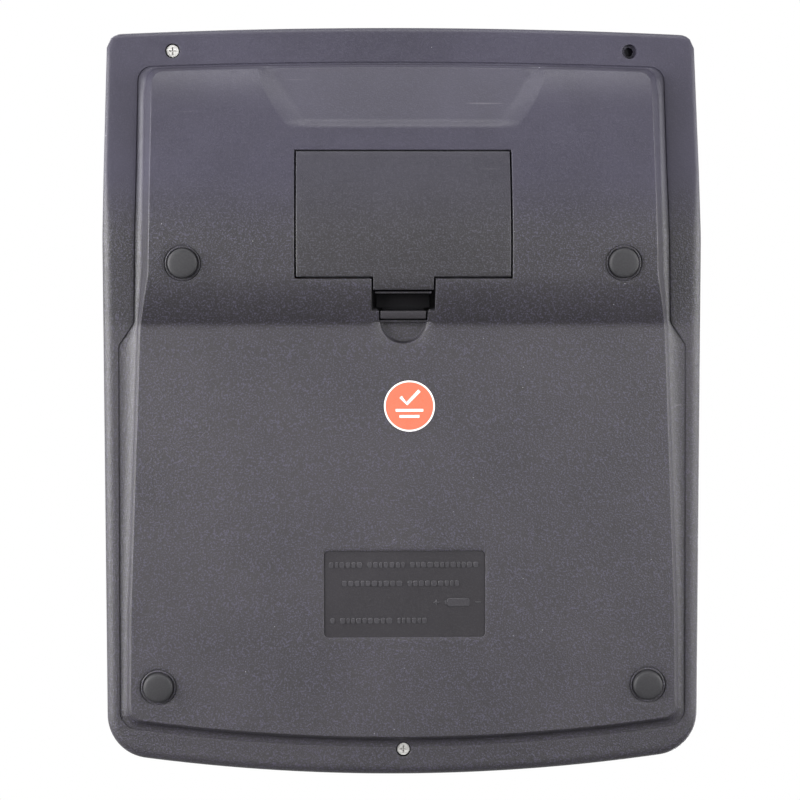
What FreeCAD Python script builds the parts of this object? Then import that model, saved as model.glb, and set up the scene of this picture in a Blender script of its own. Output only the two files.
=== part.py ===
import FreeCAD, Part
import math
import os

V = FreeCAD.Vector
os.makedirs("parts", exist_ok=True)

# A desk calculator standing on its feet. Millimetres, keys up, display to +Y, user at -Y.
# ---- outline seen from above ----
FRONT_Y = -98.5            # middle of the bowed front edge
REAR_Y = 98.5              # middle of the slightly bowed rear edge
KINK_Y = 43.5              # line where the display part bends up
HALF_FRONT = 78.0          # half width at the front corners
HALF_KINK = 78.5           # half width at the bend, the widest place
HALF_REAR = 78.0           # half width at the rear corners
BOW_FRONT = 6.1            # how far the front corners lie behind the middle
BOW_REAR = 1.9             # how far the rear corners lie ahead of the middle
R_FRONT = 11.5             # corner radius at the front
R_REAR = 3.8               # corner radius at the rear

# ---- heights ----
RIM_FRONT = 3.35           # underside of the rim at the front edge
KEY_SLOPE = 2.5            # slope of the key part, degrees
DISPLAY_SLOPE = 15.5       # slope of the display part, degrees
FLANGE = 12.2              # rim underside to top face
SPLIT = 4.6                # rim underside to parting line
PLATE_DROP = 2.6           # bottom plate below the rim
SKIN = 1.8                 # wall of the bottom case
WALL = 2.2                 # side wall of both cases

# ---- battery hump ----
HUMP_LOW = 1.6             # lowest surface of the hump
HUMP_FRONT = 21.0          # crease between hump and plate
HUMP_FLAT = 34.0           # front end of the flat
HUMP_PEAK = 39.0           # rear end of the flat
HUMP_BEND = 45.0           # radius of the bend behind the flat
HUMP_SLOPE = 20.3          # slope of the straight part behind the bend, degrees
HUMP_SHOULDER = 76.0       # where the rear shoulder starts
HUMP_REAR = 89.3           # foot of the rear shoulder
HUMP_HALF = 67.6           # half width of the hump
HUMP_POWER = 2.2           # fullness of the shoulder

# ---- battery bay and door ----
BAY_HALF = 28.0
BAY_FRONT = 33.9
CELL_BAY_REAR = 50.2       # rear end of the deep part that holds the cell
BAY_REAR = 65.4
BAY_CEILING = 18.15
LOW_CEILING = 13.0         # ceiling of the empty part behind the cell
BAY_WALL = 1.2
DOOR_HALF = 28.1
DOOR_FRONT = 33.6
DOOR_REAR = 65.9
DOOR_THICK = 1.6
DOOR_GAP = 0.35
TAB_HALF = 8.2
TAB_FRONT = 30.2
LATCH_HALF = 5.9
SLOT_FRONT = 22.5
CELL_R = 7.1
CELL_LENGTH = 49.2
CELL_Z = 10.75
CELL_Y = 42.2

# ---- feet, screws, sticker ----
REAR_FOOT = (57.0, 37.9)
FRONT_FOOT = (64.3, -74.2)
FRONT_FOOT_TOP = 2.8
FOOT_R = 3.9
RING_R = 4.65
REAR_SCREW = (60.6, 92.2)
FRONT_SCREW = (0.0, -91.6)
STICKER = (-1.6, -0.6)
STICKER_R = 6.65
LABEL = (-21.5, 20.9, -61.4, -38.6)

# ---- keyboard, in the sloping frame of the key part ----
KEY_PITCH_X = 23.2
KEY_PITCH_S = 20.0
FIRST_ROW = 19.0
KEY_W = 18.6
KEY_D = 15.2
LIFT = FLANGE - 7.2        # the key works hang this far above the rim
KEY_TOP = 11.4 + LIFT      # key top above the rim underside
KEY_FOOT = 3.9 + LIFT      # underside of the key skirt
KEY_GAP = 0.35
KEY_NAMES = [
    ["key_all_clear", "key_0", "key_00", "key_point", "key_equals", None],
    ["key_clear", "key_1", "key_2", "key_3", "key_minus", "key_plus"],
    ["key_sign", "key_4", "key_5", "key_6", "key_times", "key_markup"],
    ["key_percent", "key_7", "key_8", "key_9", "key_divide", "key_root"],
    ["key_mem_clear", "key_mem_recall", "key_mem_minus", "key_mem_plus", "key_grand_total", "key_backspace"],
]
KNOB_S = 120.0
KNOB_X = {"decimal_knob": -46.4, "rounding_knob": 23.2}
KNOB_TRAVEL = 6.0
BOARD_SCREWS = [(-46.4, 29), (-46.4, 89), (0, 29), (0, 89), (46.0, 29), (46.0, 89)]

TOP_K = FLANGE * math.cos(math.radians(KEY_SLOPE))
TOP_D = FLANGE * math.cos(math.radians(DISPLAY_SLOPE))


def rim(y):
    """Height of the underside of the rim."""
    z = RIM_FRONT + (min(y, KINK_Y) - FRONT_Y) * math.tan(math.radians(KEY_SLOPE))
    return z + max(y - KINK_Y, 0) * math.tan(math.radians(DISPLAY_SLOPE))


def level(offset):
    """Height function lying a fixed amount above the rim underside."""
    return lambda y: rim(y) + offset


def hump(y):
    """Height of the underside of the battery hump."""
    if y < HUMP_FLAT:
        t = (HUMP_FLAT - y) / (HUMP_FLAT - HUMP_FRONT)
        return HUMP_LOW + (rim(HUMP_FRONT) - PLATE_DROP - HUMP_LOW) * t ** 1.7
    if y < HUMP_PEAK:
        return HUMP_LOW
    slope = math.radians(HUMP_SLOPE)
    bend_end = HUMP_PEAK + HUMP_BEND * math.sin(slope)
    if y < bend_end:
        return HUMP_LOW + HUMP_BEND - math.sqrt(HUMP_BEND ** 2 - (y - HUMP_PEAK) ** 2)
    straight = HUMP_LOW + HUMP_BEND * (1 - math.cos(slope)) + (y - bend_end) * math.tan(slope)
    if y < HUMP_SHOULDER:
        return straight
    u = min((y - HUMP_SHOULDER) / (HUMP_REAR - HUMP_SHOULDER), 1.0)
    drop = rim(y) - straight
    return straight + drop * (1 - (1 - u ** HUMP_POWER) ** (1 / HUMP_POWER))


def prism_x(points, x0, x1):
    """Solid made by pushing a closed (y, z) outline along X."""
    loop = [V(x0, y, z) for y, z in points]
    face = Part.Face(Part.makePolygon(loop + [loop[0]]))
    return face.extrude(V(x1 - x0, 0, 0))


def band(low, high, y0, y1, half=90.0):
    """Slab between two height functions."""
    ys = [y0] + [y for y in (KINK_Y,) if y0 < y < y1] + [y1]
    points = [(y, low(y)) for y in ys] + [(y, high(y)) for y in reversed(ys)]
    return prism_x(points, -half, half)


def box(x0, x1, y0, y1, z0, z1):
    return Part.makeBox(x1 - x0, y1 - y0, z1 - z0, V(x0, y0, z0))


def disc(x, y, z0, z1, radius):
    return Part.makeCylinder(radius, z1 - z0, V(x, y, z0))


def outline(inset=0.0, front=FRONT_Y, rear=REAR_Y):
    """Upright prism over the case outline, moved inward by the inset."""
    hf = HALF_FRONT - inset
    hk = HALF_KINK - inset
    hr = HALF_REAR - inset
    y0 = front + inset
    y1 = rear - inset
    a = V(-hf, y0 + BOW_FRONT, 0)
    b = V(hf, y0 + BOW_FRONT, 0)
    c = V(hr, y1 - BOW_REAR, 0)
    d = V(-hr, y1 - BOW_REAR, 0)
    edges = [Part.Arc(a, V(0, y0, 0), b).toShape()]
    if y0 < KINK_Y < y1:
        edges += [Part.makeLine(b, V(hk, KINK_Y, 0)), Part.makeLine(V(hk, KINK_Y, 0), c)]
    else:
        edges += [Part.makeLine(b, c)]
    edges += [Part.Arc(c, V(0, y1, 0), d).toShape()]
    if y0 < KINK_Y < y1:
        edges += [Part.makeLine(d, V(-hk, KINK_Y, 0)), Part.makeLine(V(-hk, KINK_Y, 0), a)]
    else:
        edges += [Part.makeLine(d, a)]
    solid = Part.Face(Part.Wire(edges)).extrude(V(0, 0, 80))
    solid.translate(V(0, 0, -10))
    for y, r in ((y0 + BOW_FRONT, R_FRONT), (y1 - BOW_REAR, R_REAR)):
        radius = max(r - inset, 1.0)
        uprights = [e for e in solid.Edges if is_upright(e) and abs(e.Vertexes[0].Y - y) < 0.2]
        solid = solid.makeFillet(radius, uprights)
    return solid


def is_upright(edge):
    if len(edge.Vertexes) != 2:
        return False
    p = edge.Vertexes[0].Point
    q = edge.Vertexes[1].Point
    return abs(p.x - q.x) < 1e-4 and abs(p.y - q.y) < 1e-4


def rounded_box(x0, x1, y0, y1, z0, z1, radius):
    solid = box(x0, x1, y0, y1, z0, z1)
    return solid.makeFillet(radius, [e for e in solid.Edges if is_upright(e)])


def to_keys(shape):
    """Move a shape from the sloping frame of the key part into place."""
    moved = shape.copy()
    place = FreeCAD.Placement(V(0, FRONT_Y, RIM_FRONT), FreeCAD.Rotation(V(1, 0, 0), KEY_SLOPE))
    moved.Placement = place.multiply(moved.Placement)
    return moved


def to_display(shape):
    """Move a shape from the sloping frame of the display part into place."""
    moved = shape.copy()
    place = FreeCAD.Placement(V(0, KINK_Y, rim(KINK_Y)), FreeCAD.Rotation(V(1, 0, 0), DISPLAY_SLOPE))
    moved.Placement = place.multiply(moved.Placement)
    return moved


def save(name, shape):
    shape = shape.removeSplitter() if len(shape.Solids) == 1 else shape
    if len(shape.Solids) == 1:
        shape = shape.Solids[0]
    if not shape.isValid():
        print("not valid:", name)
    print(name, len(shape.Solids), round(shape.Volume, 1))
    shape.exportStep("parts/" + name + ".step")


def hump_profile(offset, y0, y1, top):
    """Closed outline following the hump at a distance inside it."""
    steps = 24
    ys = [y0 + (y1 - y0) * i / steps for i in range(steps + 1)]
    low = [(y, min(hump(y) + offset, top(y) - 0.05)) for y in ys]
    bend = [(KINK_Y, top(KINK_Y))] if y0 < KINK_Y < y1 else []
    end = [(y1, top(y1))] if low[-1][1] < top(y1) - 0.06 else []
    return low + end + bend + [(y0, top(y0))]


# ---------------------------------------------------------------- bottom case
plate_outer = outline(7.6, FRONT_Y + 2.4, REAR_Y)
plate_inner = outline(7.6 + SKIN, FRONT_Y + 2.4, REAR_Y)
shell = outline(0.0).common(band(level(0), level(SPLIT), FRONT_Y - 1, REAR_Y + 1))
shell = shell.fuse(plate_outer.common(band(level(-PLATE_DROP), level(1), FRONT_Y, HUMP_FRONT + 1)))
shell = shell.fuse(prism_x(hump_profile(0, HUMP_FRONT, HUMP_REAR - 0.02, level(1)), -HUMP_HALF, HUMP_HALF))

hollow = outline(WALL).common(band(level(SKIN), level(SPLIT + 1), FRONT_Y, REAR_Y))
hollow = hollow.fuse(plate_inner.common(band(level(SKIN - PLATE_DROP), level(SPLIT), FRONT_Y, HUMP_FRONT + 1)))
inside = HUMP_HALF - SKIN
hollow = hollow.fuse(prism_x(hump_profile(SKIN, HUMP_FRONT + 0.5, 81.0, level(SPLIT)), -inside, inside))
shell = shell.cut(hollow)

roof = BAY_CEILING + 0.6
bay_block = [(BAY_FRONT - BAY_WALL, 2.2), (BAY_FRONT - BAY_WALL, 15.0), (38.0, roof), (46.6, roof),
             (CELL_BAY_REAR + BAY_WALL, 16.0), (CELL_BAY_REAR + BAY_WALL, LOW_CEILING + BAY_WALL),
             (BAY_REAR + BAY_WALL, LOW_CEILING + BAY_WALL), (BAY_REAR + BAY_WALL, 9.6)]
bay_block += [(y, hump(y) + 0.5) for y in (60.0, 54.0, 48.0, 42.0)]
bay_room = [(BAY_FRONT, 0), (BAY_FRONT, 14.6), (38.4, BAY_CEILING), (46.2, BAY_CEILING),
            (CELL_BAY_REAR, 15.6), (CELL_BAY_REAR, LOW_CEILING), (BAY_REAR, LOW_CEILING), (BAY_REAR, 0)]
shell = shell.fuse(prism_x(bay_block, -BAY_HALF - BAY_WALL, BAY_HALF + BAY_WALL))
slot_block = box(-TAB_HALF - 1.5, TAB_HALF + 1.5, 21.4, BAY_FRONT, 3.0, 11.0)
slot_block = slot_block.cut(prism_x([(20, 0), (20, hump(21.4) + 0.8)]
                                    + [(21.4 + i, hump(21.4 + i) + 0.8) for i in range(13)]
                                    + [(36, 0)], -40, 40))
shell = shell.fuse(slot_block)
shell = shell.cut(prism_x(bay_room, -BAY_HALF, BAY_HALF))
edge = DOOR_HALF + DOOR_GAP
ys = [DOOR_FRONT - DOOR_GAP + (DOOR_REAR + 0.1 - DOOR_FRONT + DOOR_GAP) * i / 10 for i in range(11)]
mouth = [(y, hump(y) + DOOR_THICK + 0.15) for y in ys] + [(ys[-1], 0), (ys[0], 0)]
shell = shell.cut(prism_x(mouth, -edge, edge))
slot_room = box(-TAB_HALF - DOOR_GAP, TAB_HALF + DOOR_GAP, SLOT_FRONT, BAY_FRONT - BAY_WALL, 0, 10.0)
shell = shell.cut(slot_room)
notch = box(-TAB_HALF - DOOR_GAP, TAB_HALF + DOOR_GAP, SLOT_FRONT + 4, BAY_FRONT + 1, 0, 4.0)
shell = shell.cut(notch)
for x in (-20.0, 20.0):
    shell = shell.cut(box(x - 3.4, x + 3.4, 64, 68.6, 10.55, 13.0))

scoop_cup = Part.makeCylinder(6.2, 8.0, V(0, 21.5, 1.0)).common(box(-10, 10, 10, 21.6, 0, 20))
scoop_wall = Part.makeCylinder(7.4, 5.0, V(0, 21.5, 5.0)).common(box(-10, 10, 10, 22.0, 0, 20))
scoop_wall = scoop_wall.common(band(level(-PLATE_DROP + 0.6), level(20), 10, 22.4))
shell = shell.fuse(scoop_wall).cut(scoop_cup)

label_cut = band(level(-PLATE_DROP - 1), level(-PLATE_DROP + 0.4), LABEL[2], LABEL[3])
shell = shell.cut(label_cut.common(box(LABEL[0], LABEL[1], LABEL[2], LABEL[3], -5, 20)))
facet = [(72.0, -2), (72.0, hump(72.0)), (73.6, 12.4), (89.0, 22.0), (89.0, -2)]
corner = Part.makePolygon([V(-36.3, 90, -3), V(36.3, 90, -3), V(28.3, 71.8, -3), V(-28.3, 71.8, -3), V(-36.3, 90, -3)])
trapezoid = Part.Face(corner).extrude(V(0, 0, 40))
ys = [70.4 + 18.2 * i / 12 for i in range(13)]
backing = [(y, hump(y) + 0.4) for y in ys] + [(88.6, 23.6), (74.0, 14.4), (70.4, 12.4)]
shell = shell.fuse(prism_x(backing, -38, 38))
shell = shell.cut(prism_x(facet, -38, 38).common(trapezoid))

for sx in (-1, 1):
    x, y = REAR_FOOT
    shell = shell.fuse(disc(sx * x, y, HUMP_LOW + 0.2, HUMP_LOW + 2.6, RING_R + 1))
    shell = shell.cut(disc(sx * x, y, -2, HUMP_LOW + 1.0, RING_R))
    x, y = FRONT_FOOT
    shell = shell.fuse(disc(sx * x, y, 2.6, 4.3, RING_R + 1).common(plate_outer))
    shell = shell.cut(disc(sx * x, y, -2, FRONT_FOOT_TOP, RING_R))
for x, y in ((REAR_SCREW[0], REAR_SCREW[1]), (-REAR_SCREW[0], REAR_SCREW[1]), FRONT_SCREW):
    z = rim(y)
    shell = shell.fuse(disc(x, y, z + 0.9, z + SPLIT, 3.2))
    shell = shell.cut(disc(x, y, z - 6, z + 1.9, 1.95))
    shell = shell.cut(disc(x, y, z - 6, z + 9, 1.15))
save("bottom_case", shell)

# ---------------------------------------------------------------- top case
cover = outline(0.0).common(band(level(SPLIT), level(FLANGE), FRONT_Y - 1, REAR_Y + 1))
cover = cover.cut(outline(WALL).common(band(level(SPLIT - 1), level(FLANGE - WALL), FRONT_Y, REAR_Y)))
for x, y in ((REAR_SCREW[0], REAR_SCREW[1]), (-REAR_SCREW[0], REAR_SCREW[1]), FRONT_SCREW):
    z = rim(y)
    boss = disc(x, y, z + SPLIT, z + FLANGE - 0.9, 2.4)
    cover = cover.fuse(boss)
    cover = cover.cut(disc(x, y, z, z + FLANGE - 1.6, 0.95))
SHEET = 0.8
plate_zone = outline(4.6, FRONT_Y, REAR_Y)
cover = cover.cut(plate_zone.common(band(level(FLANGE - SHEET), level(FLANGE + 2), FRONT_Y, KINK_Y - 1.2)))
cover = cover.cut(plate_zone.common(band(level(FLANGE - 1.2), level(FLANGE + 2), KINK_Y + 0.8, REAR_Y)))


def key_cells():
    """Name, centre and size of every key."""
    for row, names in enumerate(KEY_NAMES):
        for column, name in enumerate(names):
            if name is None:
                continue
            x = (column - 2.5) * KEY_PITCH_X
            s = FIRST_ROW + row * KEY_PITCH_S
            depth = KEY_D
            if name == "key_plus":
                s -= KEY_PITCH_S / 2
                depth += KEY_PITCH_S
            yield name, x, s, KEY_W, depth


for name, x, s, w, d in key_cells():
    a = w / 2 + KEY_GAP
    b = d / 2 + KEY_GAP
    cover = cover.cut(to_keys(box(x - a, x + a, s - b, s + b, 4.0 + LIFT, 9.0 + LIFT)))
for x, s in BOARD_SCREWS:
    cover = cover.fuse(to_keys(disc(x, s, 1.55 + LIFT, 5.6 + LIFT, 1.5)))
    cover = cover.cut(to_keys(disc(x, s, 1.0 + LIFT, 5.0 + LIFT, 0.75)))
for x in KNOB_X.values():
    cover = cover.cut(to_keys(box(x - 6.5, x + 6.5, KNOB_S - 2.0, KNOB_S + 2.0, 4.0 + LIFT, 9.0 + LIFT)))
window_cut = box(-60.0, 60.0, 12.5, 39.5, 6.0, 14.0)
solar_cut = box(6.0, 60.0, 42.0, 49.5, 6.0, 14.0)
cover = cover.cut(to_display(window_cut)).cut(to_display(solar_cut))
save("top_case", cover)

# ---------------------------------------------------------------- face sheets
sheet = outline(4.75, FRONT_Y, REAR_Y).common(
    band(level(FLANGE - SHEET), level(FLANGE), FRONT_Y, KINK_Y - 1.3))
for name, x, s, w, d in key_cells():
    a = w / 2 + KEY_GAP + 0.15
    b = d / 2 + KEY_GAP + 0.15
    sheet = sheet.cut(to_keys(box(x - a, x + a, s - b, s + b, 4.0 + LIFT, 9.0 + LIFT)))
for x in KNOB_X.values():
    sheet = sheet.cut(to_keys(box(x - 7.0, x + 7.0, KNOB_S - 2.5, KNOB_S + 2.5, 4.0 + LIFT, 9.0 + LIFT)))
save("keyboard_plate", sheet)

bezel = outline(4.75, FRONT_Y, REAR_Y).common(
    band(level(FLANGE - 1.2), level(FLANGE), KINK_Y + 0.9, REAR_Y))
bezel = bezel.cut(to_display(box(-58.0, 58.0, 14.5, 37.5, 6.0, 14.0)))
bezel = bezel.cut(to_display(box(8.0, 58.0, 43.2, 48.4, 6.0, 14.0)))
save("display_bezel", bezel)
save("display_window", to_display(box(-59.7, 59.7, 12.8, 39.2, TOP_D - 2.3, TOP_D - 1.2)))
save("lcd_panel", to_display(box(-57.5, 57.5, 14.0, 38.0, TOP_D - 3.9, TOP_D - 2.4)))
frame = box(-59.5, 59.5, 10.5, 41.0, TOP_D - 4.3, TOP_D - 2.4)
frame = frame.cut(box(-57.7, 57.7, 13.8, 38.2, TOP_D - 3.9, 14.0))
frame = frame.cut(box(-54, 54, 15.0, 37.0, 0, 14.0))
save("lcd_frame", to_display(frame))
save("solar_cell", to_display(box(6.5, 59.5, 42.2, 49.3, TOP_D - 2.4, TOP_D - 1.25)))
path = [(27.0, rim(27.0) + 6.75), (30.6, rim(30.6) + 6.8), (33.0, 17.0), (37.6, 19.1), (46.8, 19.2),
        (51.0, 19.2), (56.2, 20.6), (59.0, 21.8)]
ribbon = prism_x(path + [(y, z - 0.13) for y, z in reversed(path)], 12, 52)
save("lcd_ribbon", ribbon)

# ---------------------------------------------------------------- board and mat
BOARD_INSET = 7.6 + SKIN + 0.5
BOARD_HALF = 65.3
board = outline(BOARD_INSET, FRONT_Y + 2.4, REAR_Y)
board = board.common(band(level(0.3 + LIFT), level(1.5 + LIFT), FRONT_Y, 31.0, BOARD_HALF))
for x, s in BOARD_SCREWS:
    board = board.cut(to_keys(disc(x, s, LIFT - 1, LIFT + 3, 0.8)))
save("main_board", board)
mat = outline(BOARD_INSET, FRONT_Y + 2.4, REAR_Y)
mat = mat.common(band(level(1.5 + LIFT), level(2.1 + LIFT), FRONT_Y, 11.5, BOARD_HALF))
for name, x, s, w, d in key_cells():
    mat = mat.fuse(to_keys(Part.makeCone(4.2, 2.2, 1.75, V(x, s, 2.0 + LIFT))))
for x, s in BOARD_SCREWS:
    mat = mat.cut(to_keys(disc(x, s, LIFT, LIFT + 5, 2.1)))
save("key_mat", mat)
save("chip_blob", to_keys(Part.makeCone(6.0, 7.5, 1.15, V(20.0, 60.0, LIFT - 0.9))))
screws = []
for x, s in BOARD_SCREWS:
    screws.append(to_keys(disc(x, s, LIFT - 0.7, LIFT + 0.29, 1.6).fuse(disc(x, s, LIFT, LIFT + 4.4, 0.65))))
save("board_screws", Part.makeCompound(screws))

# ---------------------------------------------------------------- keys
for name, x, s, w, d in key_cells():
    skirt = box(x - w / 2 - 0.8, x + w / 2 + 0.8, s - d / 2 - 0.8, s + d / 2 + 0.8, KEY_FOOT, KEY_FOOT + 0.8)
    body = box(x - w / 2, x + w / 2, s - d / 2, s + d / 2, KEY_FOOT, TOP_K + 0.4)
    low = Part.makePolygon([V(x - w / 2, s - d / 2, TOP_K + 0.4), V(x + w / 2, s - d / 2, TOP_K + 0.4),
                            V(x + w / 2, s + d / 2, TOP_K + 0.4), V(x - w / 2, s + d / 2, TOP_K + 0.4),
                            V(x - w / 2, s - d / 2, TOP_K + 0.4)])
    p = w / 2 - 1.3
    q = d / 2 - 1.4
    high = Part.makePolygon([V(x - p, s - q, KEY_TOP), V(x + p, s - q, KEY_TOP), V(x + p, s + q, KEY_TOP),
                             V(x - p, s + q, KEY_TOP), V(x - p, s - q, KEY_TOP)])
    cap = Part.makeLoft([low, high], True, True)
    key = skirt.fuse(body).fuse(cap)
    key = key.cut(box(x - w / 2 + 1.3, x + w / 2 - 1.3, s - d / 2 + 1.3, s + d / 2 - 1.3, KEY_FOOT - 1, 9.4 + LIFT))
    key = key.fuse(disc(x, s, KEY_FOOT, 9.6 + LIFT, 1.9))
    save(name, to_keys(key))

# ---------------------------------------------------------------- switch knobs
for name, x in KNOB_X.items():
    start = x - KNOB_TRAVEL / 2
    knob = box(start - 2.6, start + 2.6, KNOB_S - 1.6, KNOB_S + 1.6, 3.2 + LIFT, TOP_K + 1.4)
    knob = knob.fuse(box(start - 4.2, start + 4.2, KNOB_S - 3.0, KNOB_S + 3.0, 3.2 + LIFT, 4.6 + LIFT))
    save(name, to_keys(knob))

# ---------------------------------------------------------------- cell and contacts
cell = Part.makeCylinder(CELL_R, CELL_LENGTH, V(-CELL_LENGTH / 2 - 0.65, CELL_Y, CELL_Z), V(1, 0, 0))
cell = cell.fuse(Part.makeCylinder(2.6, 1.3, V(CELL_LENGTH / 2 - 0.65, CELL_Y, CELL_Z), V(1, 0, 0)))
save("battery_cell", cell)
leaf = box(27.55, 27.95, CELL_Y - 5.5, CELL_Y + 5.5, 5.0, 15.6)
bump = Part.makeCone(2.6, 1.4, 2.2, V(27.75, CELL_Y, CELL_Z), V(-1, 0, 0))
save("contact_positive", leaf.fuse(bump))
save("contact_negative", box(-27.95, -27.55, CELL_Y - 5.5, CELL_Y + 5.5, 5.0, 15.6))


def coil(x, y, way):
    """Conical coil spring with closed ends."""
    helix = Part.makeHelix(0.56, 1.68, 3.0)
    wire = Part.Wire(helix)
    ring = Part.Wire([Part.makeCircle(0.22, V(3.0, 0, 0), V(0, 1, 0.03))])
    solid = wire.makePipeShell([ring], True, True)
    solid.rotate(V(0, 0, 0), V(0, 1, 0), 90 * way)
    solid.translate(V(x, y, CELL_Z))
    return solid


save("contact_spring", coil(-27.3, CELL_Y, 1))

# ---------------------------------------------------------------- battery door
steps = 14
ys = [DOOR_FRONT + (DOOR_REAR - 0.25 - DOOR_FRONT) * i / steps for i in range(steps + 1)]
lid = prism_x([(y, hump(y)) for y in ys] + [(y, hump(y) + DOOR_THICK) for y in reversed(ys)],
              -DOOR_HALF, DOOR_HALF)
ys = [TAB_FRONT + (DOOR_FRONT + 1.0 - TAB_FRONT) * i / 4 for i in range(5)]
tab = prism_x([(y, hump(y)) for y in ys] + [(y, hump(y) + DOOR_THICK) for y in reversed(ys)],
              -TAB_HALF, TAB_HALF)
lid = lid.fuse(tab)
leg = box(-LATCH_HALF, LATCH_HALF, TAB_FRONT, TAB_FRONT + 1.0, 2.4, 8.1)
lid = lid.fuse(leg)
for x in (-20.0, 20.0):
    hook = box(x - 3.0, x + 3.0, 63.0, 64.4, 9.0, 12.6).fuse(box(x - 3.0, x + 3.0, 63.0, 67.2, 11.2, 12.6))
    lid = lid.fuse(hook)
save("battery_door", lid)
tongue = [(TAB_FRONT + 1.0, 8.4), (TAB_FRONT + 1.0, 9.4), (25.0, 9.4), (24.0, 8.6), (24.0, 7.0),
          (22.85, 7.0), (22.85, hump(22.85) + 0.1), (25.0, hump(25.0) + 0.1), (25.0, 8.0), (25.6, 8.4)]
save("door_latch", prism_x(tongue, -LATCH_HALF, LATCH_HALF))

# ---------------------------------------------------------------- feet, screws, sticker
for side, sx in (("left", -1), ("right", 1)):
    x, y = REAR_FOOT
    save("foot_rear_" + side, disc(sx * x, y, 0, HUMP_LOW + 1.0, FOOT_R))
    x, y = FRONT_FOOT
    save("foot_front_" + side, disc(sx * x, y, 0, FRONT_FOOT_TOP, FOOT_R))
for name, spot in (("screw_rear", REAR_SCREW), ("screw_front", FRONT_SCREW)):
    x, y = spot
    z = rim(y)
    screw = disc(x, y, z + 0.6, z + 1.9, 1.6).fuse(disc(x, y, z + 1.0, z + FLANGE - 1.8, 0.85))
    screw = screw.cut(box(x - 1.0, x + 1.0, y - 0.2, y + 0.2, z, z + 1.3))
    screw = screw.cut(box(x - 0.2, x + 0.2, y - 1.0, y + 1.0, z, z + 1.3))
    save(name, screw)
sticker = disc(STICKER[0], STICKER[1], 0, 30, STICKER_R)
save("inspection_sticker", sticker.common(band(level(-PLATE_DROP - 0.12), level(-PLATE_DROP), -20, 20)))

# ---------------------------------------------------------------- wires
wires = []
for x in (-30.4, 30.4):
    points = [V(x, CELL_Y, 12.0), V(x, 34.0, 12.0), V(x, 27.0, 12.4), V(x, 20.0, rim(20.0) + 4.6)]
    run = Part.BSplineCurve()
    run.interpolate(points)
    spine = Part.Wire([run.toShape()])
    start = run.tangent(run.FirstParameter)[0]
    ring = Part.Wire([Part.makeCircle(0.5, points[0], start)])
    wires.append(spine.makePipeShell([ring], True, False))
save("lead_wires", Part.makeCompound(wires))
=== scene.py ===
"""Desk calculator on its four rubber feet: visible skins, keys and fittings round the fixed frame.

Lengths are millimetres until a mesh is made. +Y points to the display, +X to the user's right, +Z up.
"""

import bmesh
import bpy
import numpy as np
from mathutils import Matrix, Vector


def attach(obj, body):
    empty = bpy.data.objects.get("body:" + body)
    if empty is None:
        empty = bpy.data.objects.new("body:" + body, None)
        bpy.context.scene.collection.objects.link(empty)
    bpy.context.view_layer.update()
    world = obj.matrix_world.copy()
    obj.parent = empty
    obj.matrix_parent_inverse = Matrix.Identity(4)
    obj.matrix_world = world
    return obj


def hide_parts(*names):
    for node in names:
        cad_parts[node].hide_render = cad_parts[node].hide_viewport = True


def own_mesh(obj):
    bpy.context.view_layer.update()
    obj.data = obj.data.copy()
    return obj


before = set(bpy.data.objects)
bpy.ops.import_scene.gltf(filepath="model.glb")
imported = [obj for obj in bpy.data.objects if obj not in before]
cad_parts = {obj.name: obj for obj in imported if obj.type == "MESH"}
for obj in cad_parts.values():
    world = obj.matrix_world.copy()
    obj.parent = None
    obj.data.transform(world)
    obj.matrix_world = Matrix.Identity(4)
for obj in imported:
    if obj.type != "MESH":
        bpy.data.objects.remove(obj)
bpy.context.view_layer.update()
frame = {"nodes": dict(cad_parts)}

MM = 0.001
SHARP_ANGLE = np.radians(35.0)             # edges that bend more than this look sharp
# ---- case outline, seen from above ----
FRONT_Y, REAR_Y, KINK_Y = -98.5, 98.5, 43.5
FRONT_ARC, REAR_ARC = 499.0, 1600.0        # radii of the bowed front and rear edges
CORNER_FRONT, CORNER_REAR = 11.5, 3.8
# ---- heights ----
RIM_FRONT = 3.35                           # underside of the rim at the front
KEY_SLOPE, DISPLAY_SLOPE = np.radians(2.5), np.radians(15.5)
FLANGE = 12.2                              # rim underside to top face
SPLIT = 4.6                                # rim underside to parting line
PLATE_DROP = 2.6                           # bottom plate below the rim
BEND_SOFT = 2.0                            # softness of the bend
# ---- battery hump ----
HUMP_LOW, HUMP_FRONT, HUMP_FLAT, HUMP_PEAK = 1.6, 20.5, 34.0, 39.0
HUMP_BEND, HUMP_SLOPE = 45.0, np.radians(20.3)
HUMP_SHOULDER, HUMP_REAR, HUMP_POWER = 76.0, 89.3, 2.2
FACET_MOUTH, FACET_FRONT = 72.0, 73.6      # front edge of the thumb recess, and of its floor
FACET_LOW, FACET_RISE = 12.4, 0.562        # height of the floor there and its slope
# ---- openings in the bottom ----
DOOR_HALF, DOOR_FRONT, DOOR_REAR, DOOR_THICK = 27.8, 33.25, 65.85, 1.6
TAB_HALF, TAB_FRONT, SLOT_FRONT, DOOR_GAP = 7.85, 29.85, 21.75, 0.45
NUB_HALF, NUB_REAR = 5.9, 24.4             # latch's nub, and where its narrow slot widens
SCOOP_Y, SCOOP_R = 21.9, 6.2
EDGE = 0.25                                # rounding of moulded edges
RING_R, FOOT_R = 4.65, 3.9
FOOT_REAR_X, FOOT_REAR_Y = 57.0, 36.8
FOOT_FRONT_X, FOOT_FRONT_Y = 64.3, -74.2
SCREW_HOLE = 1.95
SCREW_REAR_X, SCREW_REAR_Y = 60.6, 92.2    # the other rear hole is empty
SCREW_FRONT_Y = -91.6
PANEL = (-21.5, 20.9, -61.4, -38.6)        # sunk panel: left, right, front, rear
PANEL_DEPTH = 0.4
DISH_DEPTH = 0.55                          # hollow of a key's top
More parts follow.
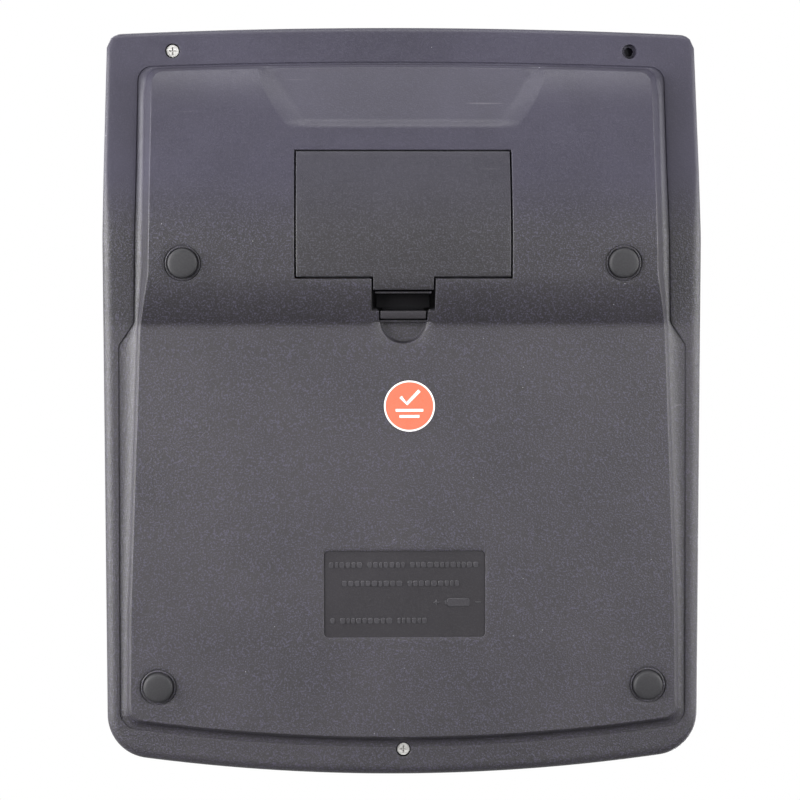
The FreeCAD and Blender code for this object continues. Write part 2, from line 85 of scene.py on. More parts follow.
# ---- keys, in the sloping frame of the key part ----
LIFT = FLANGE - 7.2
TOP_K = FLANGE * np.cos(KEY_SLOPE)
TOP_D = FLANGE * np.cos(DISPLAY_SLOPE)
KEY_TOP, KEY_FOOT = 11.4 + LIFT, 3.9 + LIFT
KEY_PITCH_X, KEY_PITCH_S, FIRST_ROW, KEY_W, KEY_D = 23.2, 20.0, 19.0, 18.6, 15.2
KNOB_S, KNOB_TRAVEL = 120.0, 6.0
KNOB_X = {"decimal_knob": -46.4, "rounding_knob": 23.2}


# ------------------------------------------------------------------ heights
def rim_height(y):
    """Underside of the rim: two sloping planes joined by a soft bend,
    half of (d + root of d squared plus softness squared) in place of the sharp corner at d = 0."""
    d = np.asarray(y, float) - KINK_Y
    past = 0.5 * (d + np.sqrt(d * d + BEND_SOFT ** 2))
    return RIM_FRONT + (np.asarray(y) - past - FRONT_Y) * np.tan(KEY_SLOPE) + past * np.tan(DISPLAY_SLOPE)


def hump_height(y):
    """Underside of the hump: a power curve down from the plate, a flat, an arc into a straight slope,
    and a superellipse shoulder that ends at the rim."""
    y = np.asarray(y, float)
    t = np.clip((HUMP_FLAT - y) / (HUMP_FLAT - HUMP_FRONT), 0, 1)
    front = HUMP_LOW + (rim_height(HUMP_FRONT) - PLATE_DROP - HUMP_LOW) * t ** 1.7
    bend_end = HUMP_PEAK + HUMP_BEND * np.sin(HUMP_SLOPE)
    arc = HUMP_LOW + HUMP_BEND - np.sqrt(HUMP_BEND ** 2 - np.clip(y - HUMP_PEAK, 0, HUMP_BEND * 0.9) ** 2)
    straight = HUMP_LOW + HUMP_BEND * (1 - np.cos(HUMP_SLOPE)) + (y - bend_end) * np.tan(HUMP_SLOPE)
    u = np.clip((y - HUMP_SHOULDER) / (HUMP_REAR - HUMP_SHOULDER), 0, 1)
    shoulder = (rim_height(y) - straight) * (1 - (1 - u ** HUMP_POWER) ** (1 / HUMP_POWER))
    rear = np.where(y < bend_end, arc, straight + shoulder)
    return np.where(y < HUMP_PEAK, front, rear)


def recess_half(y):
    """Half widths of the thumb recess: its floor widens along a straight line, its mouth along a
    parabola that bends toward the rear."""
    past = y - FACET_MOUTH
    return 26.05 + (y - FACET_FRONT) * 0.71, 29.3 + past * 0.87 - past * past * 0.0213


def belly_height(x, y):
    """Underside of the raised body: flat plate in front of the crease, hump behind it. In the thumb
    recess the surface goes over from the hump to a plane floor as the mouth's edge is passed, in
    proportion to the way from the mouth's edge to the floor's edge."""
    x, y = np.broadcast_arrays(np.asarray(x, float), np.asarray(y, float))
    body = np.where(y < HUMP_FRONT, rim_height(y) - PLATE_DROP, hump_height(y))
    floor, mouth = recess_half(y)
    inward = (y - FACET_MOUTH) / (FACET_FRONT - FACET_MOUTH)
    share = np.minimum((mouth - np.abs(x)) / (mouth - floor), inward)
    depth = FACET_LOW + (y - FACET_FRONT) * FACET_RISE - body
    return body + np.where(y > 70.0, np.maximum(depth, 0) * np.clip(share, 0, 1), 0)


def place_keys(points):
    """Turn points from the key part's own frame (x, along the slope, above the rim) into place."""
    x, s, h = np.moveaxis(np.asarray(points, float), -1, 0)
    c, k = np.cos(KEY_SLOPE), np.sin(KEY_SLOPE)
    return np.stack([x, FRONT_Y + s * c - h * k, RIM_FRONT + s * k + h * c], -1)


def place_display(points):
    """Turn points from the display part's own frame into place."""
    x, t, h = np.moveaxis(np.asarray(points, float), -1, 0)
    c, k = np.cos(DISPLAY_SLOPE), np.sin(DISPLAY_SLOPE)
    base = RIM_FRONT + (KINK_Y - FRONT_Y) * np.tan(KEY_SLOPE)
    return np.stack([x, KINK_Y + t * c - h * k, base + t * k + h * c], -1)


# ------------------------------------------------------------------ mesh tools
class Skin:
    """Points and faces gathered from rows and grids before they become one mesh."""

    def __init__(self):
        self.blocks, self.count, self.faces = [], 0, []

    def add(self, points):
        """Keep points laid out in any grid shape and return their numbers in that shape."""
        points = np.asarray(points, float)
        numbers = np.arange(self.count, self.count + points[..., 0].size).reshape(points.shape[:-1])
        self.blocks.append(points.reshape(-1, 3))
        self.count += numbers.size
        return numbers

    def points(self):
        return np.concatenate(self.blocks)

    def strip(self, one, two, closed=True):
        """Quads between two rows of equal length."""
        if closed:
            one, two = np.append(one, one[0]), np.append(two, two[0])
        self.faces += np.stack([one[:-1], one[1:], two[1:], two[:-1]], 1).tolist()

    def strips(self, rows, closed=True):
        for one, two in zip(rows, rows[1:]):
            self.strip(one, two, closed)

    def grid(self, numbers, keep=None):
        """Quads of a rectangular grid of point numbers, where keep is true."""
        quads = np.stack([numbers[:-1, :-1], numbers[1:, :-1], numbers[1:, 1:], numbers[:-1, 1:]], -1)
        quads = quads.reshape(-1, 4) if keep is None else quads[keep]
        self.faces += quads.tolist()

    def cap(self, row):
        self.faces.append([int(n) for n in row])

    def rings(self, rows):
        """Closed loops joined in turn, both ends capped. Rows are arrays of points."""
        numbers = [self.add(row) for row in rows]
        self.strips(numbers)
        self.cap(numbers[0][::-1])
        self.cap(numbers[-1])

    def mesh(self, name, facing=None):
        """Make the object: points to metres, doubles merged, faces turned outward. On an open skin,
        facing is the direction that most of its area should look in."""
        data = bpy.data.meshes.new(name)
        data.from_pydata((self.points() * MM).tolist(), [], self.faces)
        work = bmesh.new()
        work.from_mesh(data)
        bmesh.ops.remove_doubles(work, verts=work.verts, dist=2e-6)
        bmesh.ops.recalc_face_normals(work, faces=work.faces)
        if facing is not None:
            along = sum((f.normal * f.calc_area() for f in work.faces), Vector()).dot(Vector(facing))
            if along < 0:
                bmesh.ops.reverse_faces(work, faces=work.faces)
        work.to_mesh(data)
        work.free()
        data.polygons.foreach_set("use_smooth", [True] * len(data.polygons))
        data.set_sharp_from_angle(angle=SHARP_ANGLE)
        thing = bpy.data.objects.new(name, data)
        bpy.context.scene.collection.objects.link(thing)
        return thing


def spread(knots, step):
    """Values from the first knot to the last, each stretch cut evenly into pieces no longer than step."""
    parts = []
    for a, b in zip(knots, knots[1:]):
        count = max(int(np.ceil((b - a) / step)), 1)
        parts.append(np.linspace(a, b, count + 1)[:-1])
    return np.append(np.concatenate(parts), knots[-1])


def rounded(half_x, half_y, radius, count=9, centre=(0.0, 0.0)):
    """Rounded rectangle as a closed row of points: four quarter circles joined by their straight gaps."""
    a = np.linspace(0, np.pi / 2, count)
    quarter = np.stack([np.cos(a), np.sin(a)], -1) * radius
    turn = [(1, 1), (-1, 1), (-1, -1), (1, -1)]
    rows = []
    for n, (sx, sy) in enumerate(turn):
        q = quarter[::-1] if n % 2 else quarter
        rows.append(q * (sx, sy) + np.array([sx * (half_x - radius), sy * (half_y - radius)]))
    return np.concatenate(rows) + np.array(centre)


def nearest_on_rounded(p, centre, half_x, half_y, radius):
    """For each outside point, the nearest point of a rounded rectangle."""
    rel = p - np.array(centre)
    core = np.clip(rel, [-(half_x - radius), -(half_y - radius)], [half_x - radius, half_y - radius])
    away = rel - core
    away /= np.maximum(np.linalg.norm(away, axis=-1, keepdims=True), 1e-9)
    return core + away * radius + np.array(centre)


def inset_row(p, distance):
    """A closed row moved inward: each point shifts along the sum of its two edges' inward normals,
    divided so that both edges move by the distance."""
    ahead = np.roll(p, -1, 0) - p
    ahead /= np.linalg.norm(ahead, axis=1, keepdims=True)
    normal = np.stack([-ahead[:, 1], ahead[:, 0]], 1)
    before = np.roll(normal, 1, 0)
    both = normal + before
    area = np.sum(p[:, 0] * np.roll(p[:, 1], -1) - np.roll(p[:, 0], -1) * p[:, 1])
    return p + np.sign(area) * distance * both / (1 + np.sum(normal * before, 1, keepdims=True))


class Ring:
    """Closed line round the case. Front and rear are arcs of large circles, the sides follow a width
    function, and each corner is a circle that touches both."""

    def __init__(self, half, front, rear, corner_front, corner_rear, front_arc=FRONT_ARC, rear_arc=REAR_ARC):
        self.half = half
        front_path, low = self.end_path(front, front_arc, corner_front, 1)
        rear_path, high = self.end_path(rear, rear_arc, corner_rear, -1)
        self.front_path, self.rear_path = front_path[0], rear_path[0]
        y = np.linspace(low, high, 400)[1:-1]
        side = np.stack([half(y), y], 1)
        self.side_path = np.concatenate([front_path[1], side, rear_path[1][::-1]])

    def end_path(self, edge, arc, corner, sign):
        """Half of one end, from its middle to the middle of the corner, and the corner's other half."""
        big = edge + sign * arc
        cy = edge + sign * corner
        for _ in range(4):
            cx = float(self.half(np.array([cy]))[0]) - corner
            cy = big - sign * np.sqrt((arc - corner) ** 2 - cx ** 2)
        start = np.arctan2(cy - big, cx)
        x = np.linspace(0, arc * cx / (arc - corner), 300)
        bow = np.stack([x, big - sign * np.sqrt(arc ** 2 - x ** 2)], 1)

        def turn(a):
            return np.stack([cx + corner * np.cos(a), cy + corner * np.sin(a)], 1)

        first = turn(np.linspace(start, start / 2, 24)[1:])
        return (np.concatenate([bow, first]), turn(np.linspace(start / 2, 0, 24))), cy

    @staticmethod
    def walk(path, axis, targets, low, high):
        """Points of a path: where x (axis 0) or y (axis 1) has the target's value between low and high,
        and evenly along the length from there to the path's ends."""
        length = np.concatenate([[0], np.cumsum(np.linalg.norm(np.diff(path, axis=0), axis=1))])
        inner = targets[(targets >= low) & (targets <= high)]
        known = np.concatenate([[targets[0]], inner, [targets[-1]]])
        place = np.concatenate([[0.0], np.interp(inner, path[:, axis], length), [length[-1]]])
        stations = np.interp(targets, known, place)
        return np.stack([np.interp(stations, length, path[:, n]) for n in (0, 1)], 1)

    def loop(self, columns, rows, flat=50.0, low=-68.0, high=82.0, rear_columns=None):
        """Closed row of points matched to a grid's border: its columns give the stations of the front
        and rear, its rows those of the sides. It starts at the front left corner and runs to the right."""
        behind = columns if rear_columns is None else rear_columns
        mirror = np.array([-1.0, 1.0])
        front = self.walk(self.front_path, 0, columns[columns >= -1e-9], 0.0, flat)
        rear = self.walk(self.rear_path, 0, behind[behind >= -1e-9], 0.0, flat)
        side = self.walk(self.side_path, 1, rows, low, high)
        front = np.concatenate([front[:0:-1] * mirror, front])
        rear = np.concatenate([rear[:0:-1] * mirror, rear])
        return np.concatenate([front[:-1], side[:-1], rear[::-1][:-1], (side * mirror)[::-1][:-1]])


def border(numbers):
    """The border of a grid of numbers [column, row] as one closed row, in the order that Ring.loop uses."""
    return np.concatenate([numbers[:-1, 0], numbers[-1, :-1], numbers[:0:-1, -1], numbers[0, :0:-1]])


def block_border(numbers, i0, i1, j0, j1):
    return border(numbers[i0:i1 + 1, j0:j1 + 1])


def clear(keep, i0, i1, j0, j1):
    keep[i0:i1, j0:j1] = False


def at_or_near(values, target):
    return int(np.argmin(np.abs(values - target)))


def lift(row, z):
    return np.column_stack([row, np.broadcast_to(z, len(row))])


def walls(skin, last, rows):
    """Join a border of point numbers to further rows of points, and return the last row's numbers."""
    for row in rows:
        fresh = skin.add(row)
        skin.strip(last, fresh)
        last = fresh
    return last


def pocket(skin, numbers, rows):
    """Join a border to further rows of points, and close the last one."""
    skin.cap(walls(skin, numbers, rows))


# ------------------------------------------------------------------ shader tools
DUST_CELL = 2.6                            # millimetres


class Wire:
    """A shader socket that takes part in sums: every operator adds one Math node."""

    def __init__(self, paint, socket):
        self.paint, self.socket = paint, socket

    def math(self, kind, *others):
        values = {0: self}
        values.update({n + 1: other for n, other in enumerate(others)})
        return self.paint.node("ShaderNodeMath", {"operation": kind}, values)

    def __add__(self, other):
        return self.math("ADD", other)

    def __mul__(self, other):
        return self.math("MULTIPLY", other)

    def __sub__(self, other):
        return self.math("SUBTRACT", other)

    def __gt__(self, other):
        return self.math("GREATER_THAN", other)

    def __lt__(self, other):
        return self.math("LESS_THAN", other)

    def band(self, low, high):
        """0 below low, 1 above high, a smooth step between."""
        settings = {"interpolation_type": "SMOOTHSTEP"}
        return self.paint.node("ShaderNodeMapRange", settings, {0: self, 1: low, 2: high})


class Paint:
    """One material: a Principled shader, with nodes hung in front of it."""

    def __init__(self, name, colour, rough=0.5, **constants):
        self.material = bpy.data.materials.new(name)
        self.material.use_nodes = True
        self.tree = self.material.node_tree
        self.shader = self.tree.nodes["Principled BSDF"]
        self.set("Base Color", (*colour, 1.0))
        self.set("Roughness", rough)
        for key, value in constants.items():
            self.set(key.replace("_", " "), value)
        self.place = self.node("ShaderNodeTexCoord", {}, {}, "Object")

    def node(self, kind, settings, values, output=0):
        made = self.tree.nodes.new(kind)
        for key, value in settings.items():
            setattr(made, key, value)
        for key, value in values.items():
            self.feed(made.inputs[key], value)
        return Wire(self, made.outputs[output])

    def feed(self, socket, value):
        if isinstance(value, Wire):
            self.tree.links.new(value.socket, socket)
        else:
            socket.default_value = value

    def set(self, key, value):
        self.feed(self.shader.inputs[key], value)

    def noise(self, size, detail=3.0, rough=0.55, stretch=(1.0, 1.0, 1.0)):
        """Noise from 0 to 1 whose grains are about size millimetres across."""
        scaled = self.node("ShaderNodeMapping", {}, {"Vector": self.place, "Scale": stretch})
        values = {"Vector": scaled, "Scale": 1 / (size * MM), "Detail": detail, "Roughness": rough}
        return self.node("ShaderNodeTexNoise", {}, values)

    def cells(self, size, output=0):
        """Random cells about size millimetres across: the way to each cell's point, or its own colour."""
        values = {"Vector": self.place, "Scale": 1 / (size * MM)}
        return self.node("ShaderNodeTexVoronoi", {"feature": "F1"}, values, output)

    def axes(self):
        parts = self.tree.nodes.new("ShaderNodeSeparateXYZ")
        self.feed(parts.inputs[0], self.place)
        return [Wire(self, out) for out in parts.outputs]

    def blend(self, mask, one, two):
        """Colour one where the mask is 0, colour two where it is 1."""
        mixer = self.tree.nodes.new("ShaderNodeMix")
        mixer.data_type = "RGBA"
        colour = lambda c: c if isinstance(c, Wire) else (*c, 1.0)
        for n, value in ((0, mask), (6, colour(one)), (7, colour(two))):
            self.feed(mixer.inputs[n], value)
        return Wire(self, mixer.outputs[2])

    def relief(self, height, depth, strength=1.0, below=None):
        """Bump whose height of 1 stands for depth millimetres."""
        values = {"Strength": strength, "Distance": depth * MM, "Height": height}
        if below is not None:
            values["Normal"] = below
        return self.node("ShaderNodeBump", {}, values)

    def dust(self):
        """1 on small stray specks of dust, 0 elsewhere: the cores of a random tenth of the cells."""
        pick = self.node("ShaderNodeSeparateColor", {}, {0: self.cells(DUST_CELL, "Color")})
        return (self.cells(DUST_CELL) < 0.045) * (pick > 0.9)


def linear(red, green, blue):
    """Screen colour, 0 to 255, as light: the power curve of the sRGB standard."""
    c = np.array([red, green, blue]) / 255
    return tuple(float(v) for v in np.where(c < 0.04045, c / 12.92, ((c + 0.055) / 1.055) ** 2.4))


# ------------------------------------------------------------------ bottom shell
def plate_half(y):
    """Half width of the raised body: straight stretches between a few stations."""
    return np.interp(y, [-80.0, -54.5, 19.3, 34.0, 47.0], [71.6, 71.3, 68.5, 65.9, 65.6])


def trough_half(y):
    """Half width of the line where the trough round the body meets the rim."""
    return np.interp(y, [-82.0, 15.0, 21.0, 62.0, 84.0], [74.5, 74.25, 70.2, 69.7, 69.6])


def foot_line_half(y):
    """Half width of the body's foot: just outside its edge, and wider where the hump's wall leans."""
    return np.minimum(plate_half(y) + np.interp(y, [19.3, 34.0, 80.0, 88.0], [0.45, 1.9, 1.9, 0.9]),
                      trough_half(y) - 0.8)


def outer_half(y):
    return np.interp(y, [FRONT_Y, KINK_Y, REAR_Y], [78.0, 78.5, 78.0])


CASE_LINE = Ring(outer_half, FRONT_Y, REAR_Y, CORNER_FRONT, CORNER_REAR)
MOUTH_HALF = (DOOR_HALF + DOOR_GAP + EDGE, TAB_HALF + DOOR_GAP + EDGE, NUB_HALF + DOOR_GAP + EDGE)
MOUTH_ROWS = (SLOT_FRONT - EDGE, NUB_REAR - EDGE, DOOR_FRONT - DOOR_GAP - EDGE, DOOR_REAR + 0.1 + EDGE)


def shell_grid():
    """Columns and rows of the body's grid. Lines lie on every straight edge of the door's opening, the
    latch's slot and the crease; past x = 50 the columns squeeze in with the body's edge."""
    a, b, c = MOUTH_HALF
    half = spread([0.0, c - 0.8, c, b, b + 1.2, a - 1.2, a, a + 1.2, 58.0], 1.4)
    half = np.concatenate([half, spread([58.0, 69.6], 0.85)[1:]])
    columns = np.concatenate([-half[:0:-1], half])
    front, nub, door_edge, rear = MOUTH_ROWS
    rows = spread([-80.0, -68.0], 0.85)[:-1]
    middle = spread([-68.0, 14.0, HUMP_FRONT, front, front + 1.0, nub, door_edge - 1.2, door_edge, 34.6,
                     rear - 1.2, rear, rear + 1.2, 71.0], 1.4)
    rows = np.concatenate([rows, middle[:-1], spread([71.0, FACET_MOUTH, FACET_FRONT, 85.2], 0.65)])
    return columns, rows


def squeeze(columns, rows):
    """x and y of every grid point. Past x = 50 columns follow the body's edge. Behind the door the two
    columns at its corner lead over to the edges of the thumb recess."""
    u, y = np.meshgrid(columns, rows, indexing="ij")
    reach = (plate_half(y) - 2.0 - 50.0) / (columns[-1] - 50.0)
    x = np.where(np.abs(u) > 50.0, np.sign(u) * (50.0 + (np.abs(u) - 50.0) * reach), u)
    outer = DOOR_HALF + DOOR_GAP + EDGE
    inner = outer - 1.2
    over = np.clip((y - 67.6) / (FACET_MOUTH - 67.6), 0, 1)
    floor, mouth = recess_half(np.maximum(y, FACET_MOUTH))
    floor, mouth = inner + (floor - inner) * over, outer + (mouth - outer) * over
    side, rest = np.abs(u), 50.0
    new = np.where(side < inner, side / inner * floor,
                   np.where(side < outer, floor + (side - inner) / (outer - inner) * (mouth - floor),
                            mouth + (side - outer) / (rest - outer) * (rest - mouth)))
    return np.where((side < rest) & (over > 0), np.sign(u) * new, x), y


def case_bottom():
    """Body grid with holes cut by blocks of cells, then rings outward: bead, foot line, cove, rim, rounded
    edge and side wall to the parting line."""
    skin = Skin()
    columns, rows = shell_grid()
    x, y = squeeze(columns, rows)
    z = belly_height(x, y)
    core = skin.add(np.stack([x, y, z], -1))
    keep = np.ones((len(columns) - 1, len(rows) - 1), bool)

    def block(x0, x1, y0, y1):
        """Index block that holds a rectangle, and its border."""
        i0 = int(np.searchsorted(columns, x0 - 1e-6, "right")) - 1
        i1 = int(np.searchsorted(columns, x1 + 1e-6, "left"))
        j0 = int(np.searchsorted(rows, y0 - 1e-6, "right")) - 1
        j1 = int(np.searchsorted(rows, y1 + 1e-6, "left"))
        clear(keep, i0, i1, j0, j1)
        return block_border(core, i0, i1, j0, j1)

    def spots(numbers):
        return skin.points()[numbers][:, :2]

    # one opening for the latch's nub, the tab with the slot in front of it, and the door
    i = [at_or_near(columns, v) for v in (MOUTH_HALF[2], MOUTH_HALF[1], MOUTH_HALF[0])]
    j = [at_or_near(rows, v) for v in MOUTH_ROWS]
    mid = len(columns) - 1
    for half, near, far in ((i[0], j[0], j[1]), (i[1], j[1], j[2]), (i[2], j[2], j[3])):
        clear(keep, mid - half, half, near, far)
    mouth = stepped_border(core, i, j)
    line = spots(mouth)
    wall = []
    for inward, rise in ((0.07, 0.02), (0.18, 0.09), (EDGE, 0.25), (EDGE, 1.1), (EDGE, 2.2)):
        row = inset_row(line, inward)
        wall.append(lift(row, belly_height(row[:, 0], row[:, 1]) + rise))
    walls(skin, mouth, wall)

    # half-moon thumb notch in front of the latch. Rays from a spot 1 mm in front of the circle's centre
    # give the points of each ring, and the rear of the circle is cut off straight
    edge = block(-7.6, 7.6, SCOOP_Y - 7.6, MOUTH_ROWS[0] - 0.1)
    line = spots(edge)
    notch = []
    for share, rise in ((1.03, 0.0), (1.0, 0.12), (0.985, 0.4), (0.975, 1.2), (0.97, 2.1), (0.93, 2.45),
                        (0.8, 2.6)):
        away = line - (0, SCOOP_Y - 1.0)
        away = away / np.linalg.norm(away, axis=1, keepdims=True)
        reach = away[:, 1] + np.sqrt(away[:, 1] ** 2 - 1.0 + (SCOOP_R * share) ** 2)
        row = away * reach[:, None] + (0, SCOOP_Y - 1.0)
        row[:, 1] = np.minimum(row[:, 1], SCOOP_Y - 0.55)
        notch.append(lift(row, rim_height(row[:, 1]) - PLATE_DROP + rise))
    pocket(skin, edge, notch)

    # rings round the feet and the cups that hold them
    for fx, fy in ((FOOT_REAR_X, FOOT_REAR_Y), (-FOOT_REAR_X, FOOT_REAR_Y),
                   (FOOT_FRONT_X, FOOT_FRONT_Y), (-FOOT_FRONT_X, FOOT_FRONT_Y)):
        reach = RING_R + 0.5
        narrowing = (plate_half(fy) - 52.0) / (columns[-1] - 50.0)
        squeezed = 50.0 + (abs(fx) - 50.0) / narrowing
        wide = reach / narrowing
        side = np.sign(fx)
        ends = sorted((side * (squeezed - wide), side * (squeezed + wide)))
        edge = block(ends[0], ends[1], fy - reach, fy + reach)
        line = spots(edge)
        cup = []
        for radius, rise in ((RING_R + 0.3, 0.0), (RING_R + 0.12, 0.05), (RING_R + 0.05, 0.3),
                             (RING_R - 0.1, 0.3), (RING_R - 0.17, 0.05), (RING_R - 0.3, -0.02),
                             (FOOT_R + 0.25, 0.0), (FOOT_R + 0.08, 0.1), (FOOT_R + 0.05, 0.9)):
            away = line - (fx, fy)
            row = away / np.linalg.norm(away, axis=1, keepdims=True) * radius + (fx, fy)
            cup.append(lift(row, belly_height(row[:, 0], row[:, 1]) + rise))
        pocket(skin, edge, cup)

    # sunk panel
    x0, x1, y0, y1 = PANEL
    centre, wide, deep = ((x0 + x1) / 2, (y0 + y1) / 2), (x1 - x0) / 2, (y1 - y0) / 2
    edge = block(x0 - 0.7, x1 + 0.7, y0 - 0.7, y1 + 0.7)
    line = spots(edge)
    panel = []
    for grow, rise in ((0.15, 0.0), (0.03, 0.05), (0.0, 0.15), (0.0, PANEL_DEPTH - 0.04),
                       (-0.06, PANEL_DEPTH), (-0.5, PANEL_DEPTH)):
        row = nearest_on_rounded(line, centre, wide + grow, deep + grow, 1.2)
        panel.append(lift(row, belly_height(row[:, 0], row[:, 1]) + rise))
    pocket(skin, edge, panel)

    skin.grid(core, keep)

    # bands round the body
    behind = squeeze(columns, np.array([88.2]))[0][:, 0]
    behind = np.where(np.abs(columns) <= 50.0, behind, columns)
    edge_line = Ring(plate_half, -87.7, 87.9, 3.2, 3.0).loop(columns, rows, rear_columns=behind)
    foot_line = Ring(foot_line_half, -88.2, 88.5, 3.5, 3.4).loop(columns, rows, rear_columns=behind)
    trough = Ring(trough_half, -90.8, HUMP_REAR, 4.4, 3.7, 490.0, 1800.0)
    trough = trough.loop(columns, rows, rear_columns=behind)
    outer = CASE_LINE.loop(columns, rows, rear_columns=behind)
    body = lambda row: belly_height(row[:, 0], np.clip(row[:, 1], -89.0, 89.25))
    start = spots(border(core))
    inner = inset_row(edge_line, 0.42)
    bands = [lift(start + (inner - start) * t, 0) for t in (0.25, 0.5, 0.75, 1.0)]
    bands += [lift(inset_row(edge_line, d), 0) for d in (0.26, 0.13)]
    for row in bands:
        row[:, 2] = body(row)
    for outward, rise in ((0.04, 0.03), (-0.08, 0.12), (-0.16, 0.3)):
        row = inset_row(edge_line, outward)
        bands.append(lift(row, body(row) + rise))
    foot_z = np.maximum(body(foot_line) + 0.25, rim_height(foot_line[:, 1]) - 2.0)
    foot_z = np.minimum(foot_z, rim_height(foot_line[:, 1]) - 0.25)
    top = bands[-1]
    foot = lift(foot_line, foot_z)
    bands += [top + (foot - top) * t for t in (0.25, 0.5, 0.75, 0.93)]
    bands.append(foot)
    sunk = rim_height(trough[:, 1]) + 0.30
    for t in np.radians([14, 28, 42, 56, 70, 82, 90]):
        across = foot_line + (trough - foot_line) * (1 - np.cos(t))
        bands.append(lift(across, foot_z + (sunk - foot_z) * np.sin(t)))
    for outward, drop in ((-0.05, 0.16), (-0.14, 0.03), (-0.30, 0.0)):
        row = inset_row(trough, outward)
        bands.append(lift(row, rim_height(row[:, 1]) + drop))
    rim_from = bands[-1][:, :2]
    fillet = np.interp(outer[:, 1], [15.0, 45.0, 60.0], [2.7, 2.4, 1.3])
    fillet_row = outer + (inset_row(outer, 1.0) - outer) * fillet[:, None]
    for t in np.linspace(0, 1, 9)[1:]:
        row = rim_from + (fillet_row - rim_from) * t
        bands.append(lift(row, rim_height(row[:, 1])))
    for t in np.radians([15, 30, 45, 60, 75, 90]):
        row = outer + (fillet_row - outer) * (1 - np.sin(t))
        bands.append(lift(row, rim_height(row[:, 1]) + fillet * 0.8 * (1 - np.cos(t))))
    low = bands[-1][:, 2]
    seam = rim_height(outer[:, 1]) + SPLIT
    for t in (0.35, 0.7, 1.0):
        bands.append(lift(outer, low + (seam - 0.22 - low) * t))
    bands.append(lift(inset_row(outer, 0.12), seam - 0.06))
    bands.append(lift(inset_row(outer, 0.3), seam))

    numbers = np.array([skin.add(row) for row in bands])
    skin.strip(border(core), numbers[0])
    belt = np.ones((len(bands) - 1, numbers.shape[1]), bool)
    points = skin.points()
    closed = np.concatenate([numbers, numbers[:, :1]], 1)

    # screw holes: blocks of the bands, drawn in to a circle, a step and a floor with a pilot hole
    for hx, hy in ((SCREW_REAR_X, SCREW_REAR_Y), (-SCREW_REAR_X, SCREW_REAR_Y), (0.0, SCREW_FRONT_Y)):
        near = np.hypot(points[numbers][..., 0] - hx, points[numbers][..., 1] - hy) < SCREW_HOLE + 0.45
        k, c = np.nonzero(near)
        k0, k1, c0, c1 = k.min() - 1, k.max() + 1, c.min() - 1, c.max() + 1
        belt[k0:k1, c0:c1] = False
        edge = block_border(numbers, k0, k1, c0, c1)
        away = spots(edge) - (hx, hy)
        away /= np.linalg.norm(away, axis=1, keepdims=True)
        hole = []
        for radius, rise in ((0.14, 0.0), (0.04, 0.03), (0.0, 0.15), (0.0, 1.8), (-0.06, 1.9), (-0.75, 1.9),
                             (-0.8, 1.95), (-0.8, 4.2)):
            row = away * (SCREW_HOLE + radius) + (hx, hy)
            hole.append(lift(row, rim_height(row[:, 1] if rise < 1.0 else hy) + rise))
        pocket(skin, edge, hole)
    skin.grid(closed, belt)
    return finish_shell(skin.mesh("case_bottom", (0, 0, -1)), 1.5)


def stepped_border(numbers, i, j):
    """Border of a symmetric opening whose blocks of cells widen step by step toward the rear: i are the
    blocks' last columns, j the rows between them. The mirrored column of k is last - k."""
    last = len(numbers) - 1
    right, left = [], []
    for n, column in enumerate(i):
        right += [numbers[column, j[n]:j[n + 1]]]
        left += [numbers[last - column, j[n + 1]:j[n]:-1]]
        if n + 1 < len(i):
            right += [numbers[column:i[n + 1], j[n + 1]]]
            left += [numbers[last - i[n + 1]:last - column, j[n + 1]]]
    front = numbers[last - i[0]:i[0], j[0]]
    far = numbers[i[-1]:last - i[-1]:-1, j[-1]]
    return np.concatenate([front, *right, far, *left[::-1]])


def thicken(piece, wall):
    """Give a skin its wall, inward."""
    solid = piece.modifiers.new("wall", "SOLIDIFY")
    solid.thickness, solid.offset = wall * MM, -1.0
    return solid


def finish_shell(piece, wall):
    """Give a skin its wall, inward. The wall is thin at points on the strip between the notch and the
    latch's slot; of the skins finished here only the bottom shell has points there."""
    spots = np.empty(len(piece.data.vertices) * 3, np.float32)
    piece.data.vertices.foreach_get("co", spots)
    x, y, _ = spots.reshape(-1, 3).T / MM
    thin = (np.abs(x) < 7.0) & (y > SLOT_FRONT - 0.55) & (y < SLOT_FRONT + 0.2)
    piece.vertex_groups.new(name="full_wall").add(np.flatnonzero(~thin).tolist(), 1.0, "REPLACE")
    solid = thicken(piece, wall)
    solid.vertex_group, solid.thickness_vertex_group = "full_wall", 0.08
    solid.use_even_offset = False
    return piece


def tub(name, xs, ys, height, wall=1.0):
    """Open tub, mouth down: the height of its ceiling over a grid, the outermost lines lowered to 2 mm
    above the hump's underside."""
    x, y = np.meshgrid(xs, ys, indexing="ij")
    low = hump_height(y) + 2.0
    z = height(x, y)
    z[[0, -1]] = low[[0, -1]]
    z[:, [0, -1]] = low[:, [0, -1]]
    skin = Skin()
    skin.grid(skin.add(np.stack([x, y, z], -1)))
    piece = skin.mesh(name, (0, 0, -1))
    thicken(piece, wall)
    return piece


def battery_room():
    """Room behind the door: a ceiling that steps down behind the cell, and the latch's room."""
    doubled = lambda a, b, *more: np.sort(np.array([a, a, b, b, *more]))
    steps = ([33.9, 38.4, 46.2, 50.19, 50.2, 65.4], [14.6, 18.15, 18.15, 15.6, 13.0, 13.0])
    ceiling = lambda x, y: np.interp(y, *steps)
    xs = doubled(-28.0, 28.0, *np.linspace(-27, 27, 15))
    ys = doubled(33.9, 65.4, *np.linspace(34.2, 65, 30), 50.18, 50.22, 38.4, 46.2)
    room = tub("battery_bay", xs, ys, ceiling)
    xs = doubled(-8.55, 8.55, *np.linspace(-8, 8, 9))
    ys = doubled(21.8, 33.0, *np.linspace(22.4, 32.6, 7))
    return room, tub("latch_room", xs, ys, lambda x, y: np.full(x.shape, 10.0), 0.35)


# ------------------------------------------------------------------ top shell and sheets
def deck_height(y):
    """Top face above the table."""
    return rim_height(y) + FLANGE


